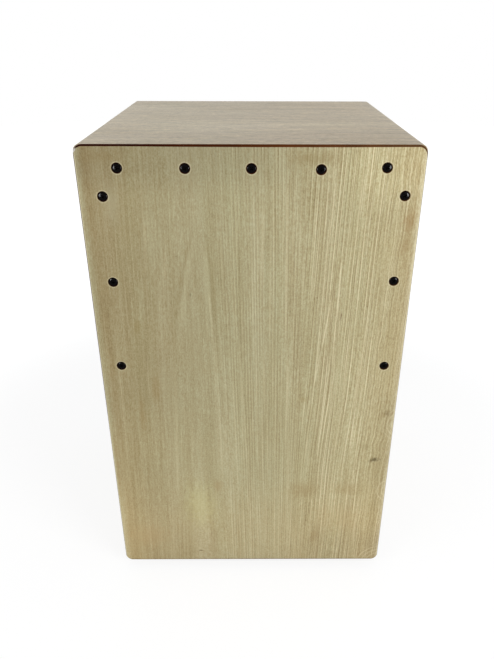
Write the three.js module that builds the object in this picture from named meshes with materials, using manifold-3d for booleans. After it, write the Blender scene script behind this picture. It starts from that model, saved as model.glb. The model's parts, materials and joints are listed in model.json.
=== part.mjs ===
// Cajon: a plywood box drum with a thin front plate (the tapa), a sound hole at the back
// and a fixed wire snare inside. Millimetres, X from left to right, Y from front to back, Z up.
// The floor is at Z = 0, and X and Y are zero in the middle of the box.

import * as THREE from 'three';
import { mergeVertices } from 'three/addons/utils/BufferGeometryUtils.js';
import Module from 'manifold-3d';

const wasm = await Module();
wasm.setup();

// Box
const bodyWidth = 300;
const bodyDepth = 300;
const bodyHeight = 484;
const panelThickness = 12;
const edgeRadius = 6; // of the four long edges
const glueGap = 0.3;

// Front plate and back panel
const tapaThickness = 3;
const tapaRoundover = 2.4;
const tapaCornerRadius = 8;
const backThickness = 5;
const backRoundover = 3.5;
const soundHoleDiameter = 110;
const soundHoleRoundover = 2;
const soundHoleLift = 200; // centre above the underside of the box

// Strips and blocks glued inside the box
const stripWidth = 14;
const frontStripDepth = 15;
const rearStripDepth = 12;
const cornerBlockLeg = 18;

// Countersunk screws that hold the tapa, driven into the middle of the front strips
const topRowInset = 34; // outermost screws of the top row, from the sides
const topRowShares = [-1, -0.5, 0, 0.5, 1];
const sideScrewDropShares = [0.089, 0.254, 0.442]; // below the top, of the body's height
const drillWander = 4; // furthest that a tapa screw was drilled off its place
const topRowWanderShares = [[0.5, -0.12], [0.45, -0.18], [0.15, -0.19], [0.55, -0.39], [0.1, 0.03]];
const leftWanderShares = [[0.58, -0.22], [0.75, -0.33], [0.45, -0.05]]; // to the right, and up
const rightWanderShares = [[0.8, 0], [0.43, -0.05], [0.38, -0.1]];
const tapaScrewDiameter = 3.5;
const tapaScrewHeadDiameter = 8;
const tapaScrewHeadHeight = 2.2;
const tapaScrewRim = 0.3;
const tapaScrewRecess = 0.4; // top of the head below the face of the tapa
const countersinkClearance = 0.7;

// Pan-head screws
const panScrewDiameter = 3;
const panScrewHeadDiameter = 6.4;
const panScrewHeadHeight = 2.2;
const panScrewRim = 0.8;
const clampScrewBite = 10; // length in the bar

// All screws
const screwClearance = 0.3;
const screwTip = 4;
const tipMargin = 1.6; // wood left beyond the tip
const pilotEnd = 1; // pilot hole beyond the tip
const crossSpan = 3.6;
const crossSlot = 0.9;
const crossDepth = 1.5;

// Snare: wire strands soldered to an end plate, which is clamped in a sloping housing of the bar
const snareBarDepth = 18;
const snareBarHeight = 40;
const snareBarDrop = 15; // top of the bar below the lowest tapa screws
const snareSpacing = 140; // between the middles of the two strips
const snareSeatGap = 0.3;
const strandCount = 10;
const strandPitch = 4;
const strandDiameter = 1.9;
const strandTopClearance = 28; // below the top strip
const strandFoot = 7; // length on the end plate
const solderSink = 0.4;
const solderDiameter = 3;
const endPlateMargin = 2.5; // beyond the outer strands
const endPlateThickness = 1;
const endPlateHeight = 22;
const housingClearance = 1;
const clampThickness = 2;
const clampHeight = 10;
const clampMargin = 2; // between the lower edges of the clamp and the end plate
const clampScrewInset = 6; // from the ends of the clamp

// Feet
const footHeight = 10;
const footInset = 45; // centre from the sides, front and back
const footTopDiameter = 32;
const footFloorDiameter = 27;
const footEdge = 1.5;
const footBoreDiameter = 14;
const footBoreDepth = 5.5;
const washerClearance = 1;
const washerThickness = 1;

// Facets, and how far a cutting shape runs past what it cuts
const cornerSteps = 10;
const roundoverSteps = 3;
const holeSides = 48;
const screwSides = 20;
const panScrewSides = 12;
const strandSides = 8;
const footSides = 32;
const overrun = 5;

// Places worked out from the sizes above
const tapaFront = -bodyDepth / 2;
const shellFront = tapaFront + tapaThickness;
const shellBack = bodyDepth / 2 - backThickness;
const shellDepth = shellBack - shellFront;
const shellBottom = footHeight;
const shellTop = footHeight + bodyHeight;
const shellMiddle = (shellBottom + shellTop) / 2;
const innerWidth = bodyWidth - 2 * panelThickness;
const innerHeight = bodyHeight - 2 * panelThickness;
const stripBack = shellFront + frontStripDepth;
const tapaScrewInset = panelThickness + stripWidth / 2;
const tapaScrewLength = tapaThickness + frontStripDepth - tapaScrewRecess - tipMargin;
const lowestTapaScrew = shellTop - Math.max(...sideScrewDropShares) * bodyHeight;
const snareBarBack = stripBack + snareBarDepth;
const snareBarTop = lowestTapaScrew - snareBarDrop;
const barScrewLength = snareBarDepth + frontStripDepth - tipMargin;
const strandReach = shellTop - panelThickness - stripWidth - strandTopClearance - snareBarTop;
const footScrewStart = footHeight - footBoreDepth + washerThickness;
const footScrewLength = footScrewStart + panelThickness - tipMargin;
const endPlateWidth = (strandCount - 1) * strandPitch + 2 * endPlateMargin;
const clampMiddle = clampMargin + clampHeight / 2 - endPlateHeight;
const clampScrewReach = endPlateWidth / 2 - clampScrewInset;

// Colours
const faceVeneer = new THREE.MeshStandardMaterial({ color: 0xa99d76, roughness: 0.45, metalness: 0 });
const bodyPly = new THREE.MeshStandardMaterial({ color: 0xb2a896, roughness: 0.5, metalness: 0 });
const softwood = new THREE.MeshStandardMaterial({ color: 0xc9a878, roughness: 0.8, metalness: 0 });
const hardwood = new THREE.MeshStandardMaterial({ color: 0xb98f5e, roughness: 0.7, metalness: 0 });
const blackSteel = new THREE.MeshStandardMaterial({ color: 0x14100e, roughness: 0.4, metalness: 0.7 });
const zincSteel = new THREE.MeshStandardMaterial({ color: 0xb9bcc0, roughness: 0.35, metalness: 1 });
const snareSteel = new THREE.MeshStandardMaterial({ color: 0xd0d2d4, roughness: 0.25, metalness: 1 });
const rubber = new THREE.MeshStandardMaterial({ color: 0x1b1a19, roughness: 0.85, metalness: 0 });

// A closed mesh as a solid that can be cut and joined, and back
function toSolid(geometry) {
  const bare = geometry.clone();
  bare.deleteAttribute('normal');
  bare.deleteAttribute('uv');
  const merged = mergeVertices(bare);
  const vertProperties = new Float32Array(merged.attributes.position.array);
  const triVerts = new Uint32Array(merged.index.array);
  return new wasm.Manifold(new wasm.Mesh({ numProp: 3, vertProperties, triVerts }));
}

function toGeometry(solid) {
  const mesh = solid.getMesh();
  const geometry = new THREE.BufferGeometry();
  geometry.setAttribute('position', new THREE.BufferAttribute(mesh.vertProperties, 3));
  geometry.setIndex(new THREE.BufferAttribute(mesh.triVerts, 1));
  geometry.computeVertexNormals();
  return geometry;
}

function cut(geometry, tools) {
  let solid = toSolid(geometry);
  for (const tool of tools) {
    solid = solid.subtract(toSolid(tool));
  }
  return toGeometry(solid);
}

function join(geometries) {
  let solid = toSolid(geometries[0]);
  for (const geometry of geometries.slice(1)) {
    solid = solid.add(toSolid(geometry));
  }
  return toGeometry(solid);
}

// A shape drawn in X and Z, carried back along Y from zero to the depth
function extrudeBack(shape, depth, options = {}) {
  const geometry = new THREE.ExtrudeGeometry(shape, { depth, bevelEnabled: false, ...options });
  geometry.rotateX(Math.PI / 2);
  geometry.translate(0, depth, 0);
  return geometry;
}

// A box centred in X, from its front face at Y = front and its underside at Z = bottom
function block(width, depth, height, front, bottom) {
  const geometry = new THREE.BoxGeometry(width, depth, height);
  geometry.translate(0, front + depth / 2, bottom + height / 2);
  return geometry;
}

// A piece turned about the Y axis, from points of radius and place along Y
function turned(points, sides) {
  const profile = points.map(([radius, y]) => new THREE.Vector2(radius, y));
  return new THREE.LatheGeometry(profile, sides);
}

function roundedRectangle(width, height, radius) {
  const x = width / 2 - radius;
  const z = height / 2 - radius;
  const quarter = Math.PI / 2;
  const shape = new THREE.Shape();
  shape.absarc(x, -z, radius, -quarter, 0);
  shape.absarc(x, z, radius, 0, quarter);
  shape.absarc(-x, z, radius, quarter, 2 * quarter);
  shape.absarc(-x, -z, radius, 2 * quarter, 3 * quarter);
  shape.closePath();
  return shape;
}

// One side of the mitred box, its outer face at Z = 0, with the outer edges of both mitres rounded
function mitredPanel(span) {
  const inset = glueGap / Math.SQRT2;
  const arcEnd = Math.acos(-inset / (edgeRadius * Math.SQRT2)) - Math.PI / 4;
  const arcCentre = span / 2 - edgeRadius;
  const innerHalf = span / 2 - panelThickness - inset;
  const shape = new THREE.Shape();
  shape.moveTo(-innerHalf, -panelThickness);
  shape.lineTo(innerHalf, -panelThickness);
  shape.absarc(arcCentre, -edgeRadius, edgeRadius, arcEnd, Math.PI / 2);
  shape.absarc(-arcCentre, -edgeRadius, edgeRadius, Math.PI / 2, Math.PI - arcEnd);
  shape.closePath();
  return extrudeBack(shape, shellDepth, { curveSegments: cornerSteps });
}

// A plate as wide and high as the box, its front edge rounded over, from Y = 0 back
function roundedPlate(thickness, roundover, radius) {
  const blank = extrudeBack(roundedRectangle(bodyWidth, bodyHeight, radius), thickness, {
    bevelEnabled: true,
    bevelThickness: roundover,
    bevelSize: roundover,
    bevelOffset: -roundover,
    bevelSegments: roundoverSteps,
    curveSegments: cornerSteps,
  });
  blank.translate(0, roundover, 0);
  const waste = block(bodyWidth + overrun, bodyDepth, bodyHeight + overrun, thickness, 0);
  waste.translate(0, 0, -(bodyHeight + overrun) / 2);
  return cut(blank, [waste]);
}

// Cross-shaped driver pocket, from before Y = 0 to its depth
function crossPocket() {
  const long = crossSpan / 2;
  const slim = crossSlot / 2;
  const shape = new THREE.Shape();
  shape.moveTo(long, -slim);
  for (let arm = 0; arm < 4; arm += 1) {
    const turn = (arm * Math.PI) / 2;
    const corners = [[long, slim], [slim, slim], [slim, long]];
    for (const [x, z] of corners) {
      shape.lineTo(x * Math.cos(turn) - z * Math.sin(turn), x * Math.sin(turn) + z * Math.cos(turn));
    }
  }
  shape.closePath();
  const pocket = extrudeBack(shape, crossDepth + overrun);
  pocket.translate(0, -overrun, 0);
  return pocket;
}

// Countersunk wood screw along Y, with the top of its head at Y = 0
function countersunkScrew() {
  const head = tapaScrewHeadDiameter / 2;
  const shank = tapaScrewDiameter / 2;
  const body = turned([
    [0, 0],
    [head, 0],
    [head, tapaScrewRim],
    [shank, tapaScrewHeadHeight],
    [shank, tapaScrewLength - screwTip],
    [0, tapaScrewLength],
  ], screwSides);
  return cut(body, [crossPocket()]);
}

// Pan-head wood screw along Y, with the underside of its head at Y = 0
function panHeadScrew(length) {
  const head = panScrewHeadDiameter / 2;
  const shank = panScrewDiameter / 2;
  const crown = panScrewHeadHeight - panScrewRim;
  const body = turned([
    [0, -panScrewHeadHeight],
    [head - crown, -panScrewHeadHeight],
    [head - crown + crown * Math.SQRT1_2, -panScrewRim - crown * Math.SQRT1_2],
    [head, -panScrewRim],
    [head, 0],
    [shank, 0],
    [shank, length - screwTip],
    [0, length],
  ], panScrewSides);
  const pocket = crossPocket();
  pocket.translate(0, -panScrewHeadHeight, 0);
  return cut(body, [pocket]);
}

// Round hole for a pan-head screw along Y, from before Y = 0 to the depth
function screwHole(depth) {
  const radius = panScrewDiameter / 2 + screwClearance;
  return turned([[0, -overrun], [radius, -overrun], [radius, depth], [0, depth]], panScrewSides);
}

// Hole for a countersunk screw through the tapa, whose face is at Y = 0, and into its strip
function countersunkHole() {
  const mouth = tapaScrewHeadDiameter / 2 + countersinkClearance;
  const throat = tapaScrewDiameter / 2 + screwClearance;
  const headDrop = tapaScrewHeadHeight - tapaScrewRim;
  const headTaper = (tapaScrewHeadDiameter - tapaScrewDiameter) / 2;
  const coneStart = tapaScrewRecess + tapaScrewRim;
  const end = tapaScrewRecess + tapaScrewLength + pilotEnd;
  return turned([
    [0, -overrun],
    [mouth, -overrun],
    [mouth, coneStart],
    [throat, coneStart + ((mouth - throat) * headDrop) / headTaper],
    [throat, end],
    [0, end],
  ], screwSides);
}

function movedTo(geometry, x, y, z) {
  const copy = geometry.clone();
  copy.translate(x, y, z);
  return copy;
}

const cajon = new THREE.Group();

function addPiece(parent, name, geometry, material, x, y, z) {
  const mesh = new THREE.Mesh(geometry, material);
  mesh.name = name;
  mesh.position.set(x, y, z);
  parent.add(mesh);
  return mesh;
}

// Places on the face of the tapa: five screws along the top, three down each side, as drilled
function tapaScrewPlaces() {
  const rowReach = bodyWidth / 2 - topRowInset;
  const sideReach = bodyWidth / 2 - tapaScrewInset;
  const drilled = (x, z, strip, [right, up]) => (
    { x: x + right * drillWander, z: z + up * drillWander, strip }
  );
  const places = topRowShares.map((share, index) => (
    drilled(share * rowReach, shellTop - tapaScrewInset, 'top', topRowWanderShares[index])
  ));
  sideScrewDropShares.forEach((share, index) => {
    const z = shellTop - share * bodyHeight;
    places.push(drilled(-sideReach, z, 'left', leftWanderShares[index]));
    places.push(drilled(sideReach, z, 'right', rightWanderShares[index]));
  });
  return places;
}

function footPlaces() {
  const places = [];
  for (const [row, ySide] of [['front', -1], ['rear', 1]]) {
    for (const [side, xSide] of [['left', -1], ['right', 1]]) {
      const x = xSide * (bodyWidth / 2 - footInset);
      const y = ySide * (bodyDepth / 2 - footInset);
      places.push({ name: `${row}_${side}`, x, y });
    }
  }
  return places;
}

// Four mitred panels, the bottom one drilled for the foot screws
function addShell() {
  const flat = mitredPanel(bodyWidth);
  const upright = mitredPanel(bodyHeight);
  const pilot = screwHole(footScrewLength - footScrewStart + pilotEnd);
  pilot.rotateX(-Math.PI / 2);
  const pilots = footPlaces().map(({ x, y }) => movedTo(pilot, x, y - shellFront, 0));
  const drilled = cut(flat, pilots);
  const side = bodyWidth / 2;
  addPiece(cajon, 'top_panel', flat, bodyPly, 0, shellFront, shellTop);
  const bottom = addPiece(cajon, 'bottom_panel', drilled, bodyPly, 0, shellFront, shellBottom);
  bottom.rotation.y = Math.PI;
  const left = addPiece(cajon, 'left_side_panel', upright, bodyPly, -side, shellFront, shellMiddle);
  left.rotation.y = -Math.PI / 2;
  const right = addPiece(cajon, 'right_side_panel', upright, bodyPly, side, shellFront, shellMiddle);
  right.rotation.y = Math.PI / 2;
}

function addFrontTapa() {
  const sink = countersunkHole();
  const sinks = tapaScrewPlaces().map(({ x, z }) => movedTo(sink, x, 0, z - shellMiddle));
  const plate = cut(roundedPlate(tapaThickness, tapaRoundover, tapaCornerRadius), sinks);
  addPiece(cajon, 'front_tapa', plate, faceVeneer, 0, tapaFront, shellMiddle);
}

function addTapaScrews() {
  const screw = countersunkScrew();
  tapaScrewPlaces().forEach(({ x, z }, index) => {
    const number = String(index + 1).padStart(2, '0');
    addPiece(cajon, `tapa_screw_${number}`, screw, blackSteel, x, tapaFront + tapaScrewRecess, z);
  });
}

// Back panel with its sound hole, whose outer rim is rounded over
function addBackPanel() {
  const radius = soundHoleDiameter / 2;
  const mouth = radius + soundHoleRoundover;
  const past = backThickness + overrun;
  const profile = [[0, -overrun], [mouth, -overrun]];
  for (let step = 0; step <= roundoverSteps; step += 1) {
    const turn = (step / roundoverSteps) * (Math.PI / 2);
    profile.push([mouth - soundHoleRoundover * Math.sin(turn), soundHoleRoundover * (1 - Math.cos(turn))]);
  }
  profile.push([radius, past], [0, past]);
  const opening = turned(profile, holeSides);
  opening.translate(0, 0, soundHoleLift - bodyHeight / 2);
  const plate = cut(roundedPlate(backThickness, backRoundover, edgeRadius), [opening]);
  const panel = addPiece(cajon, 'back_panel', plate, bodyPly, 0, bodyDepth / 2, shellMiddle);
  panel.rotation.z = Math.PI;
}

// Strips round the inside of the box at the front and at the rear
function addStrips() {
  const acrossReach = (innerHeight - stripWidth) / 2;
  const uprightReach = (innerWidth - stripWidth) / 2;
  const uprightHeight = innerHeight - 2 * stripWidth;
  const strips = [
    { side: 'top', width: innerWidth, height: stripWidth, x: 0, z: shellMiddle + acrossReach },
    { side: 'bottom', width: innerWidth, height: stripWidth, x: 0, z: shellMiddle - acrossReach },
    { side: 'left', width: stripWidth, height: uprightHeight, x: -uprightReach, z: shellMiddle },
    { side: 'right', width: stripWidth, height: uprightHeight, x: uprightReach, z: shellMiddle },
  ];
  const tapaPilot = countersunkHole();
  const barPilot = screwHole(barScrewLength - snareBarDepth + pilotEnd);
  barPilot.rotateZ(Math.PI);
  for (const { side, width, height, x, z } of strips) {
    const pilots = tapaScrewPlaces()
      .filter(({ strip }) => strip === side)
      .map((place) => movedTo(tapaPilot, place.x - x, -tapaThickness, place.z - z));
    if (side === 'left' || side === 'right') {
      pilots.push(movedTo(barPilot, 0, frontStripDepth, snareBarTop - snareBarHeight / 2 - z));
    }
    const front = cut(block(width, frontStripDepth, height, 0, -height / 2), pilots);
    const rear = block(width, rearStripDepth, height, 0, -height / 2);
    addPiece(cajon, `front_strip_${side}`, front, softwood, x, shellFront, z);
    addPiece(cajon, `rear_strip_${side}`, rear, softwood, x, shellBack - rearStripDepth, z);
  }
}

// Three-cornered glue blocks along the mitres, between the front and rear strips
function addCornerBlocks() {
  const triangle = new THREE.Shape();
  triangle.moveTo(0, 0);
  triangle.lineTo(-cornerBlockLeg, 0);
  triangle.lineTo(0, -cornerBlockLeg);
  triangle.closePath();
  const prism = extrudeBack(triangle, shellDepth - frontStripDepth - rearStripDepth);
  const corners = [
    ['top_right', 1, 1],
    ['bottom_right', 1, -1],
    ['bottom_left', -1, -1],
    ['top_left', -1, 1],
  ];
  corners.forEach(([corner, xSide, zSide], quarter) => {
    const x = (xSide * innerWidth) / 2;
    const z = shellMiddle + (zSide * innerHeight) / 2;
    const piece = addPiece(cajon, `corner_block_${corner}`, prism, softwood, x, stripBack, z);
    piece.rotation.y = (quarter * Math.PI) / 2;
  });
}

// Angle by which the strands lean forward from the bar until their ends meet the tapa
function snareLean() {
  const room = frontStripDepth - snareSeatGap;
  const proud = snareSeatGap + endPlateThickness - solderSink + strandDiameter;
  return Math.asin(room / Math.hypot(strandReach, proud)) - Math.atan2(proud, strandReach);
}

// End plate with its strands. Its seat is the plane Y = 0, and the top of the bar is at Z = 0
function snareStrip() {
  const plateFront = -snareSeatGap - endPlateThickness;
  const plate = block(endPlateWidth, endPlateThickness, endPlateHeight, plateFront, -endPlateHeight);
  const strandMiddle = plateFront + solderSink - strandDiameter / 2;
  const strandLength = strandReach + strandFoot;
  const radius = strandDiameter / 2;
  const strand = new THREE.CylinderGeometry(radius, radius, strandLength, strandSides);
  strand.rotateX(Math.PI / 2);
  strand.translate(0, strandMiddle, strandReach - strandLength / 2);
  const strands = [];
  for (let index = 0; index < strandCount; index += 1) {
    strands.push(movedTo(strand, (index - (strandCount - 1) / 2) * strandPitch, 0, 0));
  }
  const beadLength = endPlateWidth - endPlateMargin;
  const bead = new THREE.CylinderGeometry(solderDiameter / 2, solderDiameter / 2, beadLength, strandSides);
  bead.rotateZ(Math.PI / 2);
  bead.translate(0, strandMiddle, -strandFoot / 2);
  const holes = [-clampScrewReach, clampScrewReach].map((x) => (
    movedTo(screwHole(overrun), x, 0, clampMiddle)
  ));
  return cut(join([plate, bead, ...strands]), holes);
}

// Flat bar with round ends and two holes that presses the end plate on its seat
function snareClamp() {
  const shape = roundedRectangle(endPlateWidth, clampHeight, clampHeight / 2);
  for (const x of [-clampScrewReach, clampScrewReach]) {
    const opening = new THREE.Path();
    opening.absarc(x, 0, panScrewDiameter / 2 + screwClearance, 0, 2 * Math.PI, true);
    shape.holes.push(opening);
  }
  return extrudeBack(shape, clampThickness, { curveSegments: panScrewSides / 2 });
}

// Bar across the box with a sloping housing for each end plate, and the two strips clamped to it
function addSnare() {
  const lean = snareLean();
  const clampFront = -2 * snareSeatGap - endPlateThickness - clampThickness;
  const screwStart = clampFront - snareSeatGap;
  const clampScrewLength = clampScrewBite - screwStart;
  const housingWidth = endPlateWidth + 2 * housingClearance;
  const housingHeight = endPlateHeight + housingClearance;
  const housing = block(housingWidth, overrun, housingHeight + overrun, -overrun, -housingHeight);
  const clampPilot = screwHole(clampScrewBite + pilotEnd);
  const strip = snareStrip();
  const clamp = snareClamp();
  const clampScrew = panHeadScrew(clampScrewLength);
  const tools = [];
  for (const [side, xSide] of [['left', -1], ['right', 1]]) {
    const seat = new THREE.Group();
    seat.position.set((xSide * snareSpacing) / 2, stripBack, snareBarTop);
    seat.rotation.x = lean;
    cajon.add(seat);
    addPiece(seat, `snare_strip_${side}`, strip, snareSteel, 0, 0, 0);
    addPiece(seat, `snare_clamp_${side}`, clamp, zincSteel, 0, clampFront, clampMiddle);
    const cuts = [housing];
    [-clampScrewReach, clampScrewReach].forEach((x, index) => {
      const name = `snare_clamp_screw_${side}_${index + 1}`;
      addPiece(seat, name, clampScrew, zincSteel, x, screwStart, clampMiddle);
      cuts.push(movedTo(clampPilot, x, 0, clampMiddle));
    });
    for (const tool of cuts) {
      const tilted = tool.clone();
      tilted.rotateX(lean);
      tilted.translate(seat.position.x, 0, 0);
      tools.push(tilted);
    }
  }
  const screwReach = (innerWidth - stripWidth) / 2;
  const through = screwHole(snareBarDepth + overrun);
  const barScrew = panHeadScrew(barScrewLength);
  for (const [side, xSide] of [['left', -1], ['right', 1]]) {
    const x = xSide * screwReach;
    const z = snareBarTop - snareBarHeight / 2;
    const piece = addPiece(cajon, `snare_bar_screw_${side}`, barScrew, zincSteel, x, snareBarBack, z);
    piece.rotation.z = Math.PI;
    tools.push(movedTo(through, x, 0, -snareBarHeight / 2));
  }
  const bar = cut(block(innerWidth, snareBarDepth, snareBarHeight, 0, -snareBarHeight), tools);
  addPiece(cajon, 'snare_bar', bar, hardwood, 0, stripBack, snareBarTop);
}

// Rubber foot with a bore for its washer and screw, standing on Z = 0
function rubberFoot() {
  const screwRadius = panScrewDiameter / 2 + screwClearance;
  const boreRadius = footBoreDiameter / 2;
  const floorRadius = footFloorDiameter / 2;
  const foot = turned([
    [screwRadius, footBoreDepth],
    [boreRadius, footBoreDepth],
    [boreRadius, 0],
    [floorRadius - footEdge, 0],
    [floorRadius, footEdge],
    [footTopDiameter / 2, footHeight],
    [screwRadius, footHeight],
    [screwRadius, footBoreDepth],
  ], footSides);
  foot.rotateX(Math.PI / 2);
  return foot;
}

function addFeet() {
  const foot = rubberFoot();
  const inner = panScrewDiameter / 2 + screwClearance;
  const outer = footBoreDiameter / 2 - washerClearance;
  const washer = turned([
    [inner, 0],
    [outer, 0],
    [outer, washerThickness],
    [inner, washerThickness],
    [inner, 0],
  ], panScrewSides);
  washer.rotateX(Math.PI / 2);
  const screw = panHeadScrew(footScrewLength);
  screw.rotateX(Math.PI / 2);
  const seat = footBoreDepth - washerThickness;
  for (const { name, x, y } of footPlaces()) {
    addPiece(cajon, `rubber_foot_${name}`, foot, rubber, x, y, 0);
    addPiece(cajon, `foot_washer_${name}`, washer, zincSteel, x, y, seat);
    addPiece(cajon, `foot_screw_${name}`, screw, zincSteel, x, y, seat);
  }
}

addShell();
addStrips();
addCornerBlocks();
addFrontTapa();
addTapaScrews();
addBackPanel();
addSnare();
addFeet();

export default cajon;
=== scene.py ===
import json
import math

import bmesh
import bpy
import numpy as np
from mathutils import Matrix, Vector
from mathutils.geometry import delaunay_2d_cdt

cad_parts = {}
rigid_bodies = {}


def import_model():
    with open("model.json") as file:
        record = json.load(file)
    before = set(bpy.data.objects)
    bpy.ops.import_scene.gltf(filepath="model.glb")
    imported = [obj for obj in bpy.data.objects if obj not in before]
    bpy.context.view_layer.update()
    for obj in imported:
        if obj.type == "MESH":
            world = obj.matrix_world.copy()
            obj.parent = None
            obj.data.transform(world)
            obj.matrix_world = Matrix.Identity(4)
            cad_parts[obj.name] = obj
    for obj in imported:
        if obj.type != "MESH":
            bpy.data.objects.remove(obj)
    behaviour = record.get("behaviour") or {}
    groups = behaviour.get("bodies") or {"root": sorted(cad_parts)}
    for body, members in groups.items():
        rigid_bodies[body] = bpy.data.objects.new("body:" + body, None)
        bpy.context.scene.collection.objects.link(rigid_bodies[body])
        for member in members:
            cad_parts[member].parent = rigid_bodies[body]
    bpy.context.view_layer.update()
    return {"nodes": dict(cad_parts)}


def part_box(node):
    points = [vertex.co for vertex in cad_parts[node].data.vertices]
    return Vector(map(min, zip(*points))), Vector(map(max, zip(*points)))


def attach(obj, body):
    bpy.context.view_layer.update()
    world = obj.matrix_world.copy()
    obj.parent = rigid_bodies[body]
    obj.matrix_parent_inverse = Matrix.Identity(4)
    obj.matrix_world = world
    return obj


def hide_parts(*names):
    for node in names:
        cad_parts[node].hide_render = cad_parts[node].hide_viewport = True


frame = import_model()

# Sizes below are in millimetres, in the CAD's frame, and become metres in makePiece.
box = {
    "width": 300, "height": 484, "lift": 10, "front": -150, "back": 150,
    "panel": 12, "corner": 6, "shellFront": -147, "shellBack": 145, "glueGap": 0.3, "screws": 11,
}
boxTop = box["lift"] + box["height"]
boxMiddle = box["lift"] + box["height"] / 2
half = box["width"] / 2


# Meshes

def gridFaces(rows, columns, closed=True):
    # quads between neighbouring rows; the last column joins the first where closed
    row = np.arange(rows - 1)[:, None]
    column = np.arange(columns if closed else columns - 1)[None, :]
    right = (column + 1) % columns
    quads = [row * columns + column, row * columns + right,
             (row + 1) * columns + right, (row + 1) * columns + column]
    return np.stack(np.broadcast_arrays(*quads), axis=-1).reshape(-1, 4).tolist()


def ringFace(count, start=0):
    return [list(range(start, start + count))]


def smoothStep(value, low, high):
    t = np.clip((value - low) / (high - low), 0, 1)
    return t * t * (3 - 2 * t)


def makePiece(name, surfaces, material, sharpAngle=35, node=None, slot=None):
    # joins surfaces of (points, faces) into one closed mesh whose faces point outwards
    points, faces, start = [], [], 0
    for surfacePoints, surfaceFaces in surfaces:
        flat = np.asarray(surfacePoints, float).reshape(-1, 3)
        points.append(flat)
        faces += [[index + start for index in face] for face in surfaceFaces]
        start += len(flat)
    mesh = bpy.data.meshes.new(name)
    mesh.from_pydata((np.concatenate(points) * 0.001).tolist(), [], faces)
    shell = bmesh.new()
    shell.from_mesh(mesh)
    bmesh.ops.remove_doubles(shell, verts=shell.verts, dist=2e-6)
    bmesh.ops.recalc_face_normals(shell, faces=shell.faces)
    openEdges = sum(1 for edge in shell.edges if not edge.is_manifold)
    shell.to_mesh(mesh)
    shell.free()
    finishPiece(bpy.data.objects.new(name, mesh), material, sharpAngle, node, slot, openEdges)


def finishPiece(piece, material, sharpAngle, node=None, slot=None, openEdges=0):
    mesh = piece.data
    mesh.polygons.foreach_set("use_smooth", np.ones(len(mesh.polygons), bool))
    mesh.set_sharp_from_angle(angle=math.radians(sharpAngle))
    mesh.materials.clear()
    mesh.materials.append(material)
    bpy.context.scene.collection.objects.link(piece)
    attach(piece, "root")
    if node:
        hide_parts(node)
    if openEdges:
        print("open edges:", piece.name, openEdges)


def roundedRing(width, height, radius, inset, steps, middle=(0, 0)):
    # a rounded rectangle drawn inset from its outline: corner centre + (radius - inset) * direction
    turn = (np.arange(4)[:, None] + np.linspace(0, 1, steps)[None, :]) * math.pi / 2
    cornerX = np.array([1, -1, -1, 1])[:, None] * (width / 2 - radius)
    cornerZ = np.array([1, 1, -1, -1])[:, None] * (height / 2 - radius)
    x = middle[0] + cornerX + (radius - inset) * np.cos(turn)
    z = middle[1] + cornerZ + (radius - inset) * np.sin(turn)
    return np.stack([x.ravel(), z.ravel()], axis=-1)


def circleRing(radius, sides, middle=(0, 0), turn=0.0):
    angle = np.linspace(0, 2 * math.pi, sides, endpoint=False) + turn
    return np.stack([middle[0] + radius * np.cos(angle), middle[1] + radius * np.sin(angle)], axis=-1)


def raised(ring, y):
    return np.stack([ring[:, 0], np.full(len(ring), float(y)), ring[:, 1]], axis=-1)


def carried(profile, ringAt):
    # a profile of (inset or radius, y) carried round a ring
    rows = np.stack([raised(ringAt(offset), y) for offset, y in profile])
    return rows, gridFaces(len(profile), rows.shape[1])


def flatFill(y, outer, holes=()):
    # triangles of a flat face at y, between an outer ring and the rings of round holes
    rings = [outer, *[circleRing(*hole) for hole in holes]]
    edges, start = [], 0
    for ring in rings:
        edges += [(start + i, start + (i + 1) % len(ring)) for i in range(len(ring))]
        start += len(ring)
    flat = [Vector(point) for point in np.concatenate(rings).tolist()]
    points, _, faces, *_ = delaunay_2d_cdt(flat, edges, [], 0, 1e-7)
    points = np.array([tuple(point) for point in points])
    faces = np.array(faces)
    centre = points[faces].mean(1)
    keep = np.ones(len(faces), bool)
    for radius, _, middle in holes:
        keep &= np.hypot(*(centre - middle).T) > radius * 0.999
    return raised(points, y), faces[keep].tolist()


def arc(centre, radius, start, end, steps):
    angle = np.radians(np.linspace(start, end, steps))
    return [(centre[0] + radius * math.cos(a), centre[1] + radius * math.sin(a)) for a in angle]


# Material helpers

def tone(red, green, blue):
    # a colour given in sRGB, 0 to 255, as the linear colour that nodes take
    value = np.array([red, green, blue]) / 255
    linear = np.where(value <= 0.04045, value / 12.92, ((value + 0.055) / 1.055) ** 2.4)
    return (*linear.tolist(), 1.0)


class Value:
    # a socket of a node tree; arithmetic with it adds the nodes that work it out
    def __init__(self, socket):
        self.socket = socket
        self.tree = socket.id_data

    def __add__(self, other):
        return calc("ADD", self, other)

    def __sub__(self, other):
        return calc("SUBTRACT", self, other)

    def __rsub__(self, other):
        return calc("SUBTRACT", other, self)

    def __mul__(self, other):
        return calc("MULTIPLY", self, other)

    def __truediv__(self, other):
        return calc("DIVIDE", self, other)

    def __rtruediv__(self, other):
        return calc("DIVIDE", other, self)

    def __abs__(self):
        return calc("ABSOLUTE", self)


class Made:
    # a node; its outputs are read as values, by number or by name
    def __init__(self, node):
        self.node = node

    def __getitem__(self, key):
        return Value(self.node.outputs[key])

    def __iter__(self):
        return (Value(socket) for socket in self.node.outputs)


def put(tree, kind, inputs=None, **settings):
    # adds a node, sets it, and links or fills its inputs
    node = tree.nodes.new(kind)
    count = len(tree.nodes)
    node.location = (count % 9 * 190 - 900, 400 - count // 9 * 260)
    for key, value in settings.items():
        setattr(node, key, value)
    for key, value in (inputs or {}).items():
        if isinstance(value, Value):
            tree.links.new(value.socket, node.inputs[key])
        else:
            node.inputs[key].default_value = value
    return Made(node)


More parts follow.
